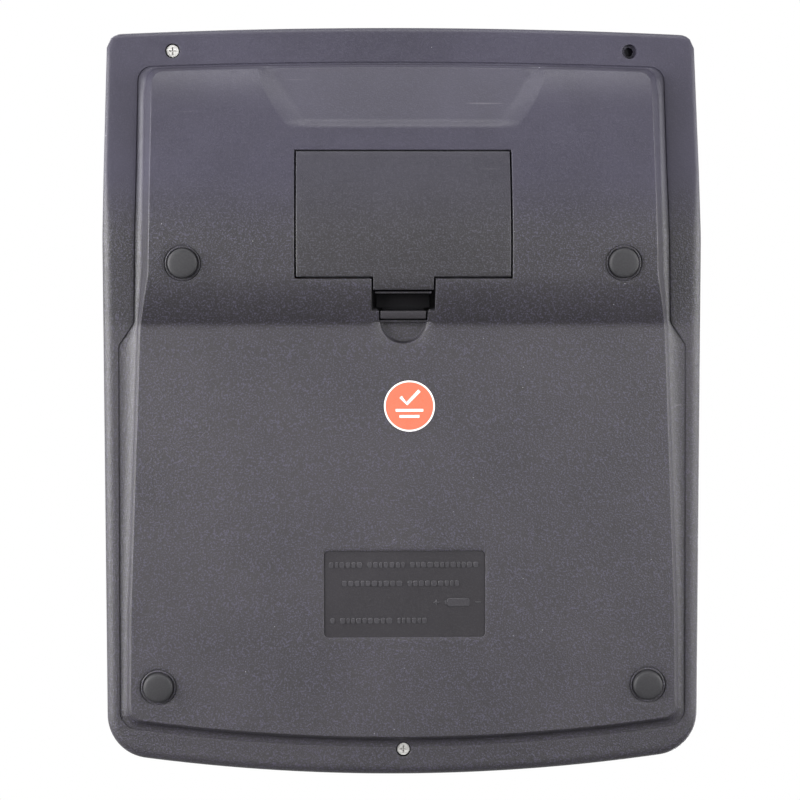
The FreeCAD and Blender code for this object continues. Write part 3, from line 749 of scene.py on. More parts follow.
def case_top():
    """Rings from the parting line up the side wall, over a rounded edge, across the border and down to
    the ledge that carries the sheets; a bar closes the gap between the two sheets."""
    skin = Skin()
    columns = spread([-69.6, 69.6], 2.0)
    columns = (columns - columns[::-1]) / 2
    rows = spread([-80.0, -68.0, 34.0, 50.0, 86.6], 1.6)
    outer = CASE_LINE.loop(columns, rows)
    z0 = rim_height(outer[:, 1]) + SPLIT
    z1 = deck_height(outer[:, 1])
    bands = [lift(inset_row(outer, 0.3), z0 + 0.02), lift(inset_row(outer, 0.12), z0 + 0.08)]
    bands.append(lift(outer, z0 + 0.25))
    bands += [lift(outer, z0 + (z1 - 2.2 - z0) * t) for t in (0.3, 0.65, 1.0)]
    for t in np.radians([15, 30, 45, 60, 75, 90]):
        bands.append(lift(inset_row(outer, 2.2 * (1 - np.cos(t))), z1 - 2.2 * (1 - np.sin(t))))
    for inward, drop in ((3.2, 0.0), (4.2, 0.0), (4.4, 0.06), (4.5, 0.2), (4.5, 1.25), (5.2, 1.3),
                         (8.5, 1.3)):
        row = inset_row(outer, inward)
        bands.append(lift(row, deck_height(row[:, 1]) - drop))
    skin.strips([skin.add(row) for row in bands])
    half = 73.6
    x = spread([-half, half], 4.0)
    profile = [(42.25, 1.2), (42.25, 0.15), (42.4, 0.0), (43.3, 0.0), (44.2, 0.0), (44.3, 0.15), (44.3, 1.2)]
    bar = np.array([[(px, y, deck_height(y) - drop) for px in x] for y, drop in profile])
    skin.grid(skin.add(bar))
    return finish_shell(skin.mesh("case_top", (0, 0, 1)), 1.3)


def pierced_sheet(name, ring, reach, low, high, holes, thick, step=1.8):
    """Sheet on the ledge: a grid that keeps its cells outside the holes, each hole's block of cells drawn in
    to a rounded rectangle, and rings out to the sheet's own rounded outline."""
    skin = Skin()
    half = {0.0, reach}
    for cx, cy, w, d, r in holes:
        half |= {round(abs(cx - w - 0.6), 3), round(abs(cx + w + 0.6), 3)}
    half = sorted(h for h in half if h <= reach)
    half = [h for n, h in enumerate(half) if n == 0 or h - half[n - 1] > 0.3]
    half = spread(half, step)
    columns = np.concatenate([-half[:0:-1], half])
    edges = {round(cy + t * (d + 0.6), 3) for cx, cy, w, d, r in holes for t in (-1, 1)}
    lines = sorted({low, high} | edges)
    rows = spread([v for n, v in enumerate(lines) if n == 0 or v - lines[n - 1] > 0.05], step)
    x, y = np.meshgrid(columns, rows, indexing="ij")
    core = skin.add(np.stack([x, y, deck_height(y)], -1))
    keep = np.ones((len(columns) - 1, len(rows) - 1), bool)
    for cx, cy, w, d, r in holes:
        i0, i1 = at_or_near(columns, cx - w - 0.6), at_or_near(columns, cx + w + 0.6)
        j0, j1 = at_or_near(rows, cy - d - 0.6), at_or_near(rows, cy + d + 0.6)
        clear(keep, i0, i1, j0, j1)
        edge = block_border(core, i0, i1, j0, j1)
        line = skin.points()[edge][:, :2]
        wall = []
        for grow, drop in ((0.12, 0.0), (0.03, 0.04), (0.0, 0.15)):
            row = nearest_on_rounded(line, (cx, cy), w + grow, d + grow, r)
            wall.append(lift(row, deck_height(row[:, 1]) - drop))
        walls(skin, edge, wall)
    skin.grid(core, keep)
    outline = ring.loop(columns, rows, reach - 12.0, low + 10.0, high - 3.0)
    start = skin.points()[border(core)][:, :2]
    wall = []
    for t, inward, drop in ((0.5, 0.2, 0.0), (1.0, 0.2, 0.0), (1.0, 0.06, 0.05), (1.0, 0.0, 0.2)):
        row = start + (inset_row(outline, inward) - start) * t
        wall.append(lift(row, deck_height(row[:, 1]) - drop))
    walls(skin, border(core), wall)
    return finish_shell(skin.mesh(name, (0, 0, 1)), thick)


def key_cells():
    """Name, centre and size of every key."""
    rows = (("all_clear", "0", "00", "point", "equals"), ("clear", "1", "2", "3", "minus", "plus"),
            ("sign", "4", "5", "6", "times", "markup"), ("percent", "7", "8", "9", "divide", "root"),
            ("mem_clear", "mem_recall", "mem_minus", "mem_plus", "grand_total", "backspace"))
    for row, names in enumerate(rows):
        for column, name in enumerate(names):
            tall = name == "plus"
            s = FIRST_ROW + row * KEY_PITCH_S - (KEY_PITCH_S / 2 if tall else 0)
            yield "key_" + name, (column - 2.5) * KEY_PITCH_X, s, KEY_W, KEY_D + (KEY_PITCH_S if tall else 0)


def plan_y(s, height=TOP_K):
    """y of a point of the key part's frame at the top face."""
    return FRONT_Y + s * np.cos(KEY_SLOPE) - height * np.sin(KEY_SLOPE)


def keyboard_sheet():
    holes = [(x, plan_y(s), w / 2 + 0.5, d / 2 + 0.5, 1.6) for name, x, s, w, d in key_cells()]
    holes += [(x, plan_y(KNOB_S), 7.0, 2.5, 1.0) for x in KNOB_X.values()]
    ring = Ring(lambda y: outer_half(y) - 4.85, FRONT_Y + 4.85, 42.15, CORNER_FRONT - 4.85, 1.0,
                FRONT_ARC - 4.85, 2e5)
    return pierced_sheet("keyboard_sheet", ring, 68.6, -88.65, 40.6, holes, 0.7)


def display_y(t):
    return float(place_display([0.0, t, TOP_D])[1])


def display_sheet():
    holes = [(0.0, (display_y(14.5) + display_y(37.5)) / 2, 58.0, 11.5 * np.cos(DISPLAY_SLOPE), 1.5),
             (33.0, (display_y(43.2) + display_y(48.4)) / 2, 25.0, 2.6 * np.cos(DISPLAY_SLOPE), 0.6)]
    ring = Ring(lambda y: outer_half(y) - 4.85, KINK_Y + 0.95, REAR_Y - 4.85, 1.0, 1.2, 2e5, REAR_ARC - 4.85)
    return pierced_sheet("display_sheet", ring, 70.0, 46.5, 90.6, holes, 1.1, 2.4)


# ------------------------------------------------------------------ keys and knobs
def dish(x, y, half_x, half_y):
    """Hollow of a key top: its depth times the product of two downward parabolas, zero at the edges."""
    return -DISH_DEPTH * np.clip(1 - (x / half_x) ** 2, 0, 1) * np.clip(1 - (y / half_y) ** 2, 0, 1)


def key_cap(name, x, s, w, d):
    """Closed key: rounded-rectangle rings up the inside, round the skirt and the body, over a rounded
    edge and inward across the hollow top."""
    skin = Skin()
    a, b = w / 2, d / 2
    foot, top = KEY_FOOT, KEY_TOP
    rows = []
    for inset, height, radius in ((1.3, top - 1.9, 0.8), (1.3, foot + 0.1, 0.8), (1.2, foot, 0.9),
                                  (-0.7, foot, 1.6), (-0.8, foot + 0.1, 1.6), (-0.8, foot + 0.7, 1.6),
                                  (-0.7, foot + 0.8, 1.6), (0.06, foot + 0.85, 1.5), (0.0, foot + 1.0, 1.5),
                                  (0.0, TOP_K + 0.2, 1.5), (0.12, TOP_K + 0.7, 1.6), (0.95, top - 0.75, 2.0),
                                  (1.08, top - 0.4, 2.0), (1.3, top - 0.13, 2.0), (1.62, top - 0.02, 2.0),
                                  (2.0, top, 2.0)):
        ring = rounded(a - inset, b - inset, radius, 6)
        rows.append(lift(ring, height))
    inner_a, inner_b = a - 2.0, b - 2.0
    last = rows[-1][:, :2]
    for share in (0.9, 0.78, 0.64, 0.48, 0.32, 0.16):
        ring = last * share
        rows.append(lift(ring, top + dish(ring[:, 0], ring[:, 1], inner_a, inner_b)))
    skin.rings([place_keys(row + (x, s, 0)) for row in rows])
    return skin.mesh(name)


def knob(name, x):
    """Switch knob: a flange, a waist and a grip whose top is a row of ridges, the square of a sine."""
    skin = Skin()
    centre = x - KNOB_TRAVEL / 2
    low = 3.2 + LIFT
    rows = []
    for half_x, half_s, height, radius in ((4.1, 2.9, low, 0.4), (4.2, 3.0, low + 0.1, 0.5),
                                           (4.2, 3.0, low + 1.3, 0.5), (4.1, 2.9, low + 1.4, 0.4),
                                           (2.65, 1.65, low + 1.45, 0.35), (2.6, 1.6, low + 1.6, 0.35),
                                           (2.6, 1.6, TOP_K + 1.1, 0.35)):
        rows.append(place_keys(lift(rounded(half_x, half_s, radius, 5), height) + (centre, KNOB_S, 0)))
    numbers = [skin.add(row) for row in rows]
    skin.strips(numbers)
    skin.cap(numbers[0][::-1])
    body = skin.mesh(name)
    ridges = Skin()
    u, v = np.meshgrid(np.linspace(-2.45, 2.45, 61), np.linspace(-1.5, 1.5, 9), indexing="ij")
    ends = np.clip((1.5 - np.abs(v)) / 0.25, 0, 1) * np.clip((2.45 - np.abs(u)) / 0.2, 0, 1)
    height = TOP_K + 1.05 + 0.42 * np.sin(u * np.pi / 0.98) ** 2 * np.sqrt(ends) + 0.05 * ends
    ridges.grid(ridges.add(place_keys(np.stack([u + centre, v + KNOB_S, height], -1))))
    top = ridges.mesh(name + "_ridges", (0, 0, 1))
    return body, finish_shell(top, 0.4)


# ------------------------------------------------------------------ battery door and latch
def door():
    """Lid and tab as one closed T: an outer and an inner grid on the hump's curve, their borders joined
    by a rounded edge and a wall."""
    skin = Skin()
    a, b = DOOR_HALF - EDGE, TAB_HALF - EDGE
    half = spread([0.0, b, a], 1.6)
    columns = np.concatenate([-half[:0:-1], half])
    rows = spread([TAB_FRONT + EDGE, DOOR_FRONT + EDGE, DOOR_REAR - 0.25 - EDGE], 1.5)
    x, y = np.meshgrid(columns, rows, indexing="ij")
    i = [at_or_near(columns, b), len(columns) - 1]
    j = [0, at_or_near(rows, DOOR_FRONT + EDGE), len(rows) - 1]
    keep = np.ones((len(columns) - 1, len(rows) - 1), bool)
    keep[:len(columns) - 1 - i[0], :j[1]] = False
    keep[i[0]:, :j[1]] = False
    outside = skin.add(np.stack([x, y, hump_height(y)], -1))
    inside = skin.add(np.stack([x, y, hump_height(y) + DOOR_THICK], -1))
    skin.grid(outside, keep)
    skin.grid(inside, keep)
    edge = stepped_border(outside, i, j)
    line = skin.points()[edge][:, :2]
    wall = []
    for outward, rise in ((0.1, 0.02), (0.18, 0.08), (EDGE, 0.25), (EDGE, DOOR_THICK - 0.15)):
        row = inset_row(line, -outward)
        wall.append(lift(row, hump_height(row[:, 1]) + rise))
    skin.strip(walls(skin, edge, wall), stepped_border(inside, i, j))
    return skin.mesh("door_lid")


def bar(name, half_x, profile, centre_x=0.0, edge=0.12):
    """Closed bar along x with a given outline in y and z; its end rings draw in to round the edges."""
    skin = Skin()
    outline = np.array(profile, float)
    rows = []
    for px, shrink in ((-half_x, 1), (-half_x + edge, 0), (half_x - edge, 0), (half_x, 1)):
        row = outline + (inset_row(outline, edge) - outline) * shrink
        rows.append(np.column_stack([np.full(len(row), px + centre_x), row]))
    skin.rings(rows)
    piece = skin.mesh(name)
    soft = piece.modifiers.new("edges", "BEVEL")
    soft.width, soft.segments, soft.limit_method = edge * 0.7 * MM, 2, "ANGLE"
    return piece


def latch():
    """Springy arm over the slot, the knee at its end, and the nub that a finger pulls."""
    h = lambda y: float(hump_height(y))
    arm = [(31.2, 8.4), (31.2, 9.4), (24.9, 9.4), (24.9, 8.4)]
    knee = [(25.1, 8.5), (25.1, 9.35), (24.3, 9.35), (23.6, 9.05), (23.3, 8.5), (23.3, 7.0), (24.3, 7.0),
            (24.3, 8.0), (24.5, 8.25), (24.9, 8.45)]
    nub = [(24.3, 7.2), (22.2, 7.2), (22.15, h(22.15) + 0.45), (22.25, h(22.25) + 0.12), (22.5, h(22.5)),
           (23.9, h(23.9)), (24.2, h(24.2) + 0.1), (24.3, h(24.3) + 0.45)]
    shapes = (("latch_arm", 7.1, arm), ("latch_knee", 5.6, knee), ("latch_nub", NUB_HALF, nub))
    return [bar(name, half, outline[::-1]) for name, half, outline in shapes]


def door_parts():
    """Leg under the tab, lip in front of it, two hooks at the rear and stiffening ribs inside the lid."""
    parts = [bar("door_leg", 5.9, [(30.25, 2.5), (31.2, 2.5), (31.2, 8.5), (30.25, 8.1)])]
    y = np.array([28.9, 28.95, 29.3, 29.35])
    lip = [*zip(y, hump_height(y) + (0.6, 0.5, 0.5, 0.6)), (29.35, 7.0), (28.9, 7.0)]
    parts.append(bar("door_lip", 7.3, lip, 0.0, 0.06))
    for n, x in enumerate((-20.0, 20.0)):
        hook = [(63.0, 9.4), (64.4, 9.9), (64.4, 11.2), (67.2, 11.2), (67.2, 12.6), (63.0, 12.6)]
        parts.append(bar(f"door_hook_{n + 1}", 3.0, hook, x))
    for n, x in enumerate((-26.3, 26.3)):
        y = np.linspace(51.5, 62.0, 9)
        low = np.column_stack([y, hump_height(y) + DOOR_THICK - 0.1])
        rib = np.concatenate([low, np.column_stack([y[::-1], hump_height(y[::-1]) + DOOR_THICK + 0.9])])
        parts.append(bar(f"door_rib_{n + 1}", 0.5, rib, x))
    return parts


# ------------------------------------------------------------------ feet, domes and small marks
def turned(name, profile, place, count=40):
    """Closed turned piece: rings of a (radius, height) profile, both ends capped."""
    skin = Skin()
    a = np.linspace(0, 2 * np.pi, count, endpoint=False)
    unit = np.stack([np.cos(a), np.sin(a)], 1)
    skin.rings([place(lift(unit * radius, height)) for radius, height in profile])
    return skin.mesh(name)


def rubber_foot(name, x, y, top):
    """Rubber button: slightly crowned face on the table, rounded rim, straight side."""
    crown = [(r, 0.16 * (r / 3.3) ** 2) for r in (0.4, 1.0, 1.7, 2.4, 3.0)]
    edge = [(3.35, 0.22), (3.62, 0.36), (3.78, 0.58), (3.84, 0.9), (3.86, top - 0.2), (3.7, top)]
    return turned(name, crown + edge, lambda p: p + (x, y, 0))


def screw_shade_ring(name, x, y):
    """Near-black ring between a screw head and the wall of its hole, a closed ring of rectangular section:
    painted shade for the shadow down in the hole.
    """
    a = np.linspace(0, 2 * np.pi, 48, endpoint=False)
    skin = Skin()
    rings = [skin.add(lift(np.stack([x + r * np.cos(a), y + r * np.sin(a)], 1), float(rim_height(y)) + h))
             for r, h in ((1.70, 0.42), (1.93, 0.30), (1.94, 1.7), (1.70, 1.7))]
    skin.strips(rings + rings[:1])
    return skin.mesh(name)


def dome(name, x, s):
    """Rubber dome under a key: a skirt, a thin flared wall and a solid crown."""
    base = 2.1 + LIFT
    profile = [(4.2, base - 0.05), (4.1, base + 0.1), (3.5, base + 0.45), (2.9, base + 1.0),
               (2.45, base + 1.35), (2.3, base + 1.55), (2.1, base + 1.63), (1.0, base + 1.65)]
    return turned(name, profile, lambda p: place_keys(p + (x, s, 0)), 28)


def mat_sheet():
    """Rubber sheet under the keys: a closed slab whose outline follows the board."""
    skin = Skin()
    ring = Ring(lambda y: np.full(np.shape(y), 65.2), -85.9, 11.3, 3.0, 2.0, 480.0, 2e5)
    columns = spread([-60.0, 60.0], 6.0)
    columns = (columns - columns[::-1]) / 2
    line = ring.loop(columns, spread([-80.0, 8.0], 6.0), 50.0, -70.0, 2.0)
    rows = []
    for inward, rise in ((0.15, 1.5), (0.0, 1.6), (0.0, 2.0), (0.15, 2.1)):
        row = inset_row(line, inward)
        rows.append(lift(row, rim_height(row[:, 1]) + rise + LIFT))
    skin.rings(rows)
    return skin.mesh("rubber_mat")


def text_mesh(name, words, size, place, raise_by):
    """Flat lettering turned into a mesh, every point then carried into place."""
    curve = bpy.data.curves.new(name, "FONT")
    curve.body, curve.size = words, size
    curve.align_x, curve.align_y = "CENTER", "CENTER"
    curve.extrude, curve.resolution_u = raise_by, 4
    holder = bpy.data.objects.new(name, curve)
    bpy.context.scene.collection.objects.link(holder)
    bpy.context.view_layer.update()
    data = bpy.data.meshes.new_from_object(holder)
    bpy.data.objects.remove(holder)
    points = np.empty(len(data.vertices) * 3)
    data.vertices.foreach_get("co", points)
    points = place(points.reshape(-1, 3))
    data.vertices.foreach_set("co", (points * MM).ravel())
    data.update()
    piece = bpy.data.objects.new(name, data)
    bpy.context.scene.collection.objects.link(piece)
    return piece


# keys that aren't listed carry their own name, a figure
LEGENDS = {"all_clear": "AC", "point": "\u2022", "equals": "=", "clear": "C", "minus": "\u2212", "plus": "+",
           "sign": "+/\u2212", "times": "\u00d7", "markup": "MU", "percent": "%", "divide": "\u00f7",
           "root": "\u221a", "mem_clear": "MC", "mem_recall": "MR", "mem_minus": "M\u2212",
           "mem_plus": "M+", "grand_total": "GT", "backspace": "\u2192"}


def legend(name, x, s, w, d):
    """Printed character that follows the hollow of its key top."""
    words = LEGENDS.get(name[4:], name[4:])
    size = 6.6 if len(words) == 1 else (5.6 if len(words) == 2 else 4.6)

    def on_key(p):
        height = KEY_TOP + dish(p[:, 0], p[:, 1], w / 2 - 2.0, d / 2 - 2.0) + 0.03 + p[:, 2]
        return place_keys(np.stack([p[:, 0] + x, p[:, 1] + s, height], -1))

    return text_mesh(name + "_legend", words, size, on_key, 0.02)


# ------------------------------------------------------------------ finishes
def shades(colour, *factors):
    """The colour times each factor."""
    return [tuple(c * k for c in colour) for k in factors]


def moulded(name, colour, rough=0.5, grain=1.0, warm=None):
    """Moulded plastic: broad and fine colour variation, spark-eroded grain, faint handling scratches, a
    little dust. Where warm is given, the front part is browner and grained, the hump a shade darker, and
    the display part smoother."""
    paint = Paint(name, colour, rough)
    patches = paint.noise(38.0, 3.0, 0.6).band(0.3, 0.7)
    fine = paint.noise(0.42, 3.0, 0.6)
    coarse = paint.noise(1.1, 2.0, 0.5)
    body = paint.blend(patches, *shades(colour, 0.868, 1.132))
    strength = grain
    if warm:
        y = paint.axes()[1]
        behind = y.band(0.040, 0.062)
        hump = y.band(0.0200, 0.0212)
        lower = [shades(tone, 0.68)[0] for tone in warm]
        front = paint.blend(hump, paint.blend(patches, *warm), paint.blend(patches, *lower))
        body = paint.blend(behind, front, body)
        strength = (behind * -0.72 + 1.0) * grain
    speckle = fine.band(0.50, 0.62) * strength
    body = paint.blend(speckle * 0.58, body, tuple(min(c * 2.4, 1.0) for c in colour))
    scratch = paint.noise(2.4, 2.0, 0.5, (0.05, 1.6, 1.0)).band(0.71, 0.75)
    scratch = scratch * paint.noise(26.0, 1.0).band(0.55, 0.7)
    dust = paint.dust()
    body = paint.blend(scratch * 0.12, body, (0.35, 0.34, 0.36))
    body = paint.blend(dust * 0.4, body, (0.62, 0.62, 0.66))
    paint.set("Base Color", body)
    paint.set("Roughness", coarse.band(0.2, 0.8) * 0.08 + fine * 0.10 + (rough - 0.10) + dust * 0.2)
    low = paint.relief(fine * strength + coarse * 0.5 * strength, 0.13, 0.95)
    paint.set("Normal", paint.relief(scratch * -1.0, 0.01, 0.3, low))
    return paint.material


def brushed(name, colour, rough=0.3, metallic=1.0):
    """Metal brushed along x: noise drawn out into streaks drives colour, roughness and a fine relief."""
    paint = Paint(name, colour, rough, Metallic=metallic)
    streak = paint.noise(0.5, 4.0, 0.65, (0.02, 1.0, 1.0))
    cloud = paint.noise(30.0, 2.0)
    paint.set("Base Color", paint.blend(streak.band(0.25, 0.75), *shades(colour, 0.82, 1.15)))
    paint.set("Roughness", streak * 0.16 + cloud * 0.08 + (rough - 0.1))
    paint.set("Normal", paint.relief(streak, 0.02, 0.35))
    return paint.material


def speckled(name, colour, other, size=0.6, rough=0.5, depth=0.02, mix=0.5, **constants):
    """Two-tone finish for small parts: fine noise mixes the colours and raises a slight relief."""
    paint = Paint(name, colour, rough, **constants)
    fine = paint.noise(size, 3.0, 0.6)
    broad = paint.noise(size * 14, 2.0)
    paint.set("Base Color", paint.blend(fine.band(0.35, 0.65) * mix + broad * 0.12, colour, other))
    paint.set("Roughness", fine * 0.14 + broad * 0.08 + (rough - 0.11))
    paint.set("Normal", paint.relief(fine, depth, 0.4))
    return paint.material


def key_finish(name, colour, rough=0.42):
    """Key plastic: satin, with a slightly lighter second tone in a fine grain."""
    return speckled(name, colour, tuple(min(c * 1.25 + 0.004, 1.0) for c in colour), 0.35, rough, 0.012, 0.4)


def gloss_sheet(name):
    """Black sheet with a clear lacquer, faint wipe marks in its gloss."""
    paint = Paint(name, linear(17, 17, 20), 0.2, Coat_Weight=0.7, Coat_Roughness=0.05)
    wipe = paint.noise(9.0, 4.0, 0.6, (0.25, 1.4, 1.0))
    grain = paint.noise(0.3, 2.0)
    paint.set("Base Color", paint.blend(wipe.band(0.35, 0.7), linear(14, 14, 17), linear(24, 24, 29)))
    paint.set("Roughness", wipe * 0.12 + grain * 0.06 + 0.12)
    return paint.material


def clear_window(name):
    """Clear acrylic cover, a thin sheet: mostly see-through, with gloss and faint haze."""
    paint = Paint(name, (0.92, 0.95, 0.94), 0.05)
    haze = paint.noise(12.0, 3.0)
    fine = paint.noise(0.8, 2.0)
    paint.set("Roughness", haze * 0.05 + 0.02)
    paint.set("Alpha", haze * 0.05 + fine * 0.02 + 0.09)
    return paint.material


def display_glass(name):
    """Reflective grey-green display ground with soft clouds and a fine grain."""
    paint = Paint(name, linear(150, 162, 146), 0.3)
    cloud = paint.noise(20.0, 2.0)
    fine = paint.noise(0.25, 2.0)
    ground = paint.blend(cloud, linear(148, 160, 145), linear(166, 176, 158))
    paint.set("Base Color", paint.blend(fine.band(0.4, 0.6) * 0.15, ground, linear(120, 134, 122)))
    paint.set("Roughness", fine * 0.12 + 0.22)
    paint.set("Normal", paint.relief(fine, 0.004, 0.3))
    return paint.material


def solar_glass(name):
    """Amorphous cell: brown-violet strips with thin light gaps across x."""
    paint = Paint(name, linear(44, 26, 34), 0.16, Coat_Weight=0.5, Coat_Roughness=0.05)
    x = paint.axes()[0]
    gap = ((x - 0.0065) * (1 / 0.01325)).math("FRACT") < 0.035
    cloud = paint.noise(7.0, 3.0)
    ground = paint.blend(cloud.band(0.3, 0.7), linear(38, 22, 32), linear(62, 34, 42))
    paint.set("Base Color", paint.blend(gap, ground, linear(126, 120, 118)))
    paint.set("Roughness", cloud * 0.1 + 0.12)
    return paint.material


def board_finish(name):
    """Circuit board: green mask, lighter over copper tracks in two directions, tinned pads."""
    paint = Paint(name, linear(18, 84, 48), 0.35)
    x, y = paint.axes()[:2]
    along = (x * (1 / 0.0036)).math("FRACT")
    across = (y * (1 / 0.0052)).math("FRACT")
    gate = paint.noise(16.0, 1.0).band(0.47, 0.5)
    track = (along < 0.22) * gate + (across < 0.2) * (gate * -1.0 + 1.0)
    pads = paint.cells(6.5) < 0.1
    fine = paint.noise(0.5, 2.0)
    mask = paint.blend(track, linear(20, 92, 52), linear(36, 120, 60))
    mask = paint.blend(fine * 0.25, mask, linear(8, 50, 28))
    paint.set("Base Color", paint.blend(pads, mask, linear(196, 190, 176)))
    paint.set("Metallic", pads * 0.9)
    paint.set("Roughness", fine * 0.15 + 0.28)
    paint.set("Normal", paint.relief(track, 0.035, 0.5))
    return paint.material


def cell_finish(name):
    """Dry cell: grey printed sleeve with a copper-coloured band at one end and bare metal ends."""
    paint = Paint(name, linear(70, 74, 80), 0.3)
    x = paint.axes()[0]
    fine = paint.noise(0.6, 3.0)
    band = x > 0.0135
    ends = (x > 0.0234) + (x < -0.0249)
    ring = (x > 0.0130) * (x < 0.0136)
    body = paint.blend(fine * 0.4, linear(34, 38, 46), linear(54, 58, 66))
    body = paint.blend(band, body, linear(190, 112, 58))
    body = paint.blend(ring, body, linear(226, 226, 226))
    paint.set("Base Color", paint.blend(ends, body, linear(196, 196, 200)))
    paint.set("Metallic", ends * 0.9 + band * 0.35)
    paint.set("Roughness", fine * 0.16 + 0.2)
    paint.set("Normal", paint.relief(fine, 0.01, 0.25))
    return paint.material


def sticker_finish(name):
    """Round paper label: orange ground inside a white border, soft print edge, paper grain."""
    paint = Paint(name, linear(247, 144, 108), 0.5)
    x, y = paint.axes()[:2]
    dx, dy = x + 0.0016, y + 0.0006
    radius = (dx * dx + dy * dy).math("SQRT")
    fine = paint.noise(0.22, 3.0, 0.65)
    cloud = paint.noise(5.0, 2.0)
    ground = paint.blend(fine.band(0.3, 0.7) * 0.5 + cloud * 0.3, linear(200, 94, 68), linear(212, 112, 88))
    paint.set("Base Color", paint.blend(radius.band(0.00618, 0.00630), ground, linear(240, 236, 234)))
    paint.set("Roughness", fine * 0.18 + 0.36)
    paint.set("Normal", paint.relief(fine, 0.008, 0.4))
    return paint.material


FINISH = {
    "case": moulded("case_plastic", (0.0305, 0.0278, 0.0435), 0.50, 1.0,
                    ((0.0265, 0.0248, 0.0278), (0.0337, 0.0312, 0.0347))),
    "door": moulded("door_plastic", (0.0265, 0.0247, 0.034), 0.50, 1.0,
                    ((0.0222, 0.0207, 0.0231), (0.0280, 0.0261, 0.0289))),
    "panel": moulded("panel_plastic", (0.019, 0.0172, 0.0205), 0.48, 0.35),
    "mark": moulded("mark_plastic", (0.034, 0.032, 0.037), 0.44, 0.3),
    "inside": moulded("inner_plastic", (0.020, 0.019, 0.022), 0.55, 0.6),
    # near-black, low-specular finish: painted shade for the latch's arm and knee down in their slot, and for
    # the rings in the screw holes
    "shade_black": speckled("painted_shade_plastic", (0.0045, 0.0043, 0.0052), (0.0075, 0.0072, 0.0085), 0.6, 0.7,
                      Specular_IOR_Level=0.12),
    "latch": moulded("latch_plastic", (0.036, 0.0338, 0.0385), 0.42, 0.5),
    "rubber": speckled("foot_rubber_black", (0.0125, 0.012, 0.0142), (0.025, 0.0242, 0.0278), 0.5, 0.66,
                       0.03, 0.6),
    "steel": brushed("screw_zinc", (0.62, 0.61, 0.59), 0.34, 0.35),
    "sheet": brushed("brushed_aluminium", (0.50, 0.51, 0.53), 0.34),
    "gloss": gloss_sheet("lacquered_black"),
    "window": clear_window("acrylic_clear"),
    "glass": display_glass("display_ground"),
    "segment": speckled("display_ink", linear(24, 28, 30), linear(34, 38, 40), 0.3, 0.4, 0.002, 0.4),
    "frame": speckled("frame_plastic", linear(92, 94, 98), linear(106, 108, 112), 0.5, 0.55),
    "ribbon": speckled("polyimide", linear(178, 96, 28), linear(204, 124, 40), 1.2, 0.3, 0.01, 0.6),
    "solar": solar_glass("amorphous_cell"),
    "board": board_finish("circuit_board"),
    "epoxy": speckled("epoxy_black", linear(16, 16, 17), linear(28, 28, 30), 0.7, 0.25, 0.02, 0.5),
    "mat": speckled("silicone_grey", linear(96, 98, 102), linear(120, 122, 126), 0.6, 0.6, 0.02, 0.4),
    "cell": cell_finish("cell_sleeve"),
    "nickel": brushed("contact_nickel_plate", (0.66, 0.63, 0.57), 0.25),
    "sticker": sticker_finish("paper_label"),
    "ink": speckled("white_ink", linear(244, 242, 240), linear(226, 224, 222), 0.3, 0.5, 0.003, 0.3),
    "wire": speckled("wire_sleeve", linear(168, 26, 24), linear(190, 44, 38), 0.5, 0.4, 0.01, 0.5),
    "knob": key_finish("knob_plastic", linear(44, 44, 48)),
    "key_dark": key_finish("key_charcoal", linear(40, 41, 46)),
    "key_light": key_finish("key_grey", linear(190, 190, 186)),
    "key_red": key_finish("key_orange_red", linear(190, 52, 34)),
    "dark_ink": speckled("dark_ink", linear(26, 26, 30), linear(40, 40, 44), 0.3, 0.5, 0.003, 0.3),
}


def settle(piece, body, finish, slot_name, *nodes):
    """Finish a new piece, let it ride on its body and hide the frame's parts that it stands for."""
    piece.data.materials.clear()
    piece.data.materials.append(FINISH[finish])
    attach(piece, body)
    if nodes:
        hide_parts(*nodes)
    return piece


# ------------------------------------------------------------------ marks
def panel_marks():
    """Raised generic marks in the sunk panel: three rows of short bars like lines of lettering, and a
    cell pictogram with its two poles."""
    skin = Skin()
    rng = np.random.default_rng(7)

    def block(x, y, half_x, half_y):
        low = rounded(half_x, half_y, min(half_x, half_y) * 0.5, 3, (x, y))
        rows = []
        for inset, height in ((0.0, 0.02), (0.0, -0.13), (0.07, -0.2)):
            row = inset_row(low, inset) if inset else low
            rows.append(lift(row, rim_height(row[:, 1]) - PLATE_DROP + PANEL_DEPTH + height))
        skin.rings(rows)

    for y, start, end in ((-42.3, -19.6, 19.0), (-47.2, -14.5, 15.6), (-57.0, -6.0, 18.8)):
        x = start
        while x < end:
            half = rng.uniform(0.38, 0.72)
            block(x + half, y, half, 0.72)
            x += 2 * half + (1.5 if rng.random() < 0.14 else 0.42)
    for x, half_x, half_y in ((-14.4, 2.9, 1.05), (-11.15, 0.3, 0.5), (-8.6, 0.7, 0.16), (-8.6, 0.16, 0.7),
                              (-19.6, 0.7, 0.16)):
        block(x, -52.2, half_x, half_y)
    return skin.mesh("panel_marks")


def panel_floor():
    """Smoother floor of the sunk panel, a thin sheet with rounded corners on the slope of the plate."""
    x0, x1, y0, y1 = PANEL
    skin = Skin()
    rows = []
    for height in (0.1, -0.03):
        row = rounded((x1 - x0) / 2 - 0.06, (y1 - y0) / 2 - 0.06, 1.14, 7, ((x0 + x1) / 2, (y0 + y1) / 2))
        rows.append(lift(row, rim_height(row[:, 1]) - PLATE_DROP + PANEL_DEPTH + height))
    skin.rings(rows)
    return skin.mesh("panel_floor")


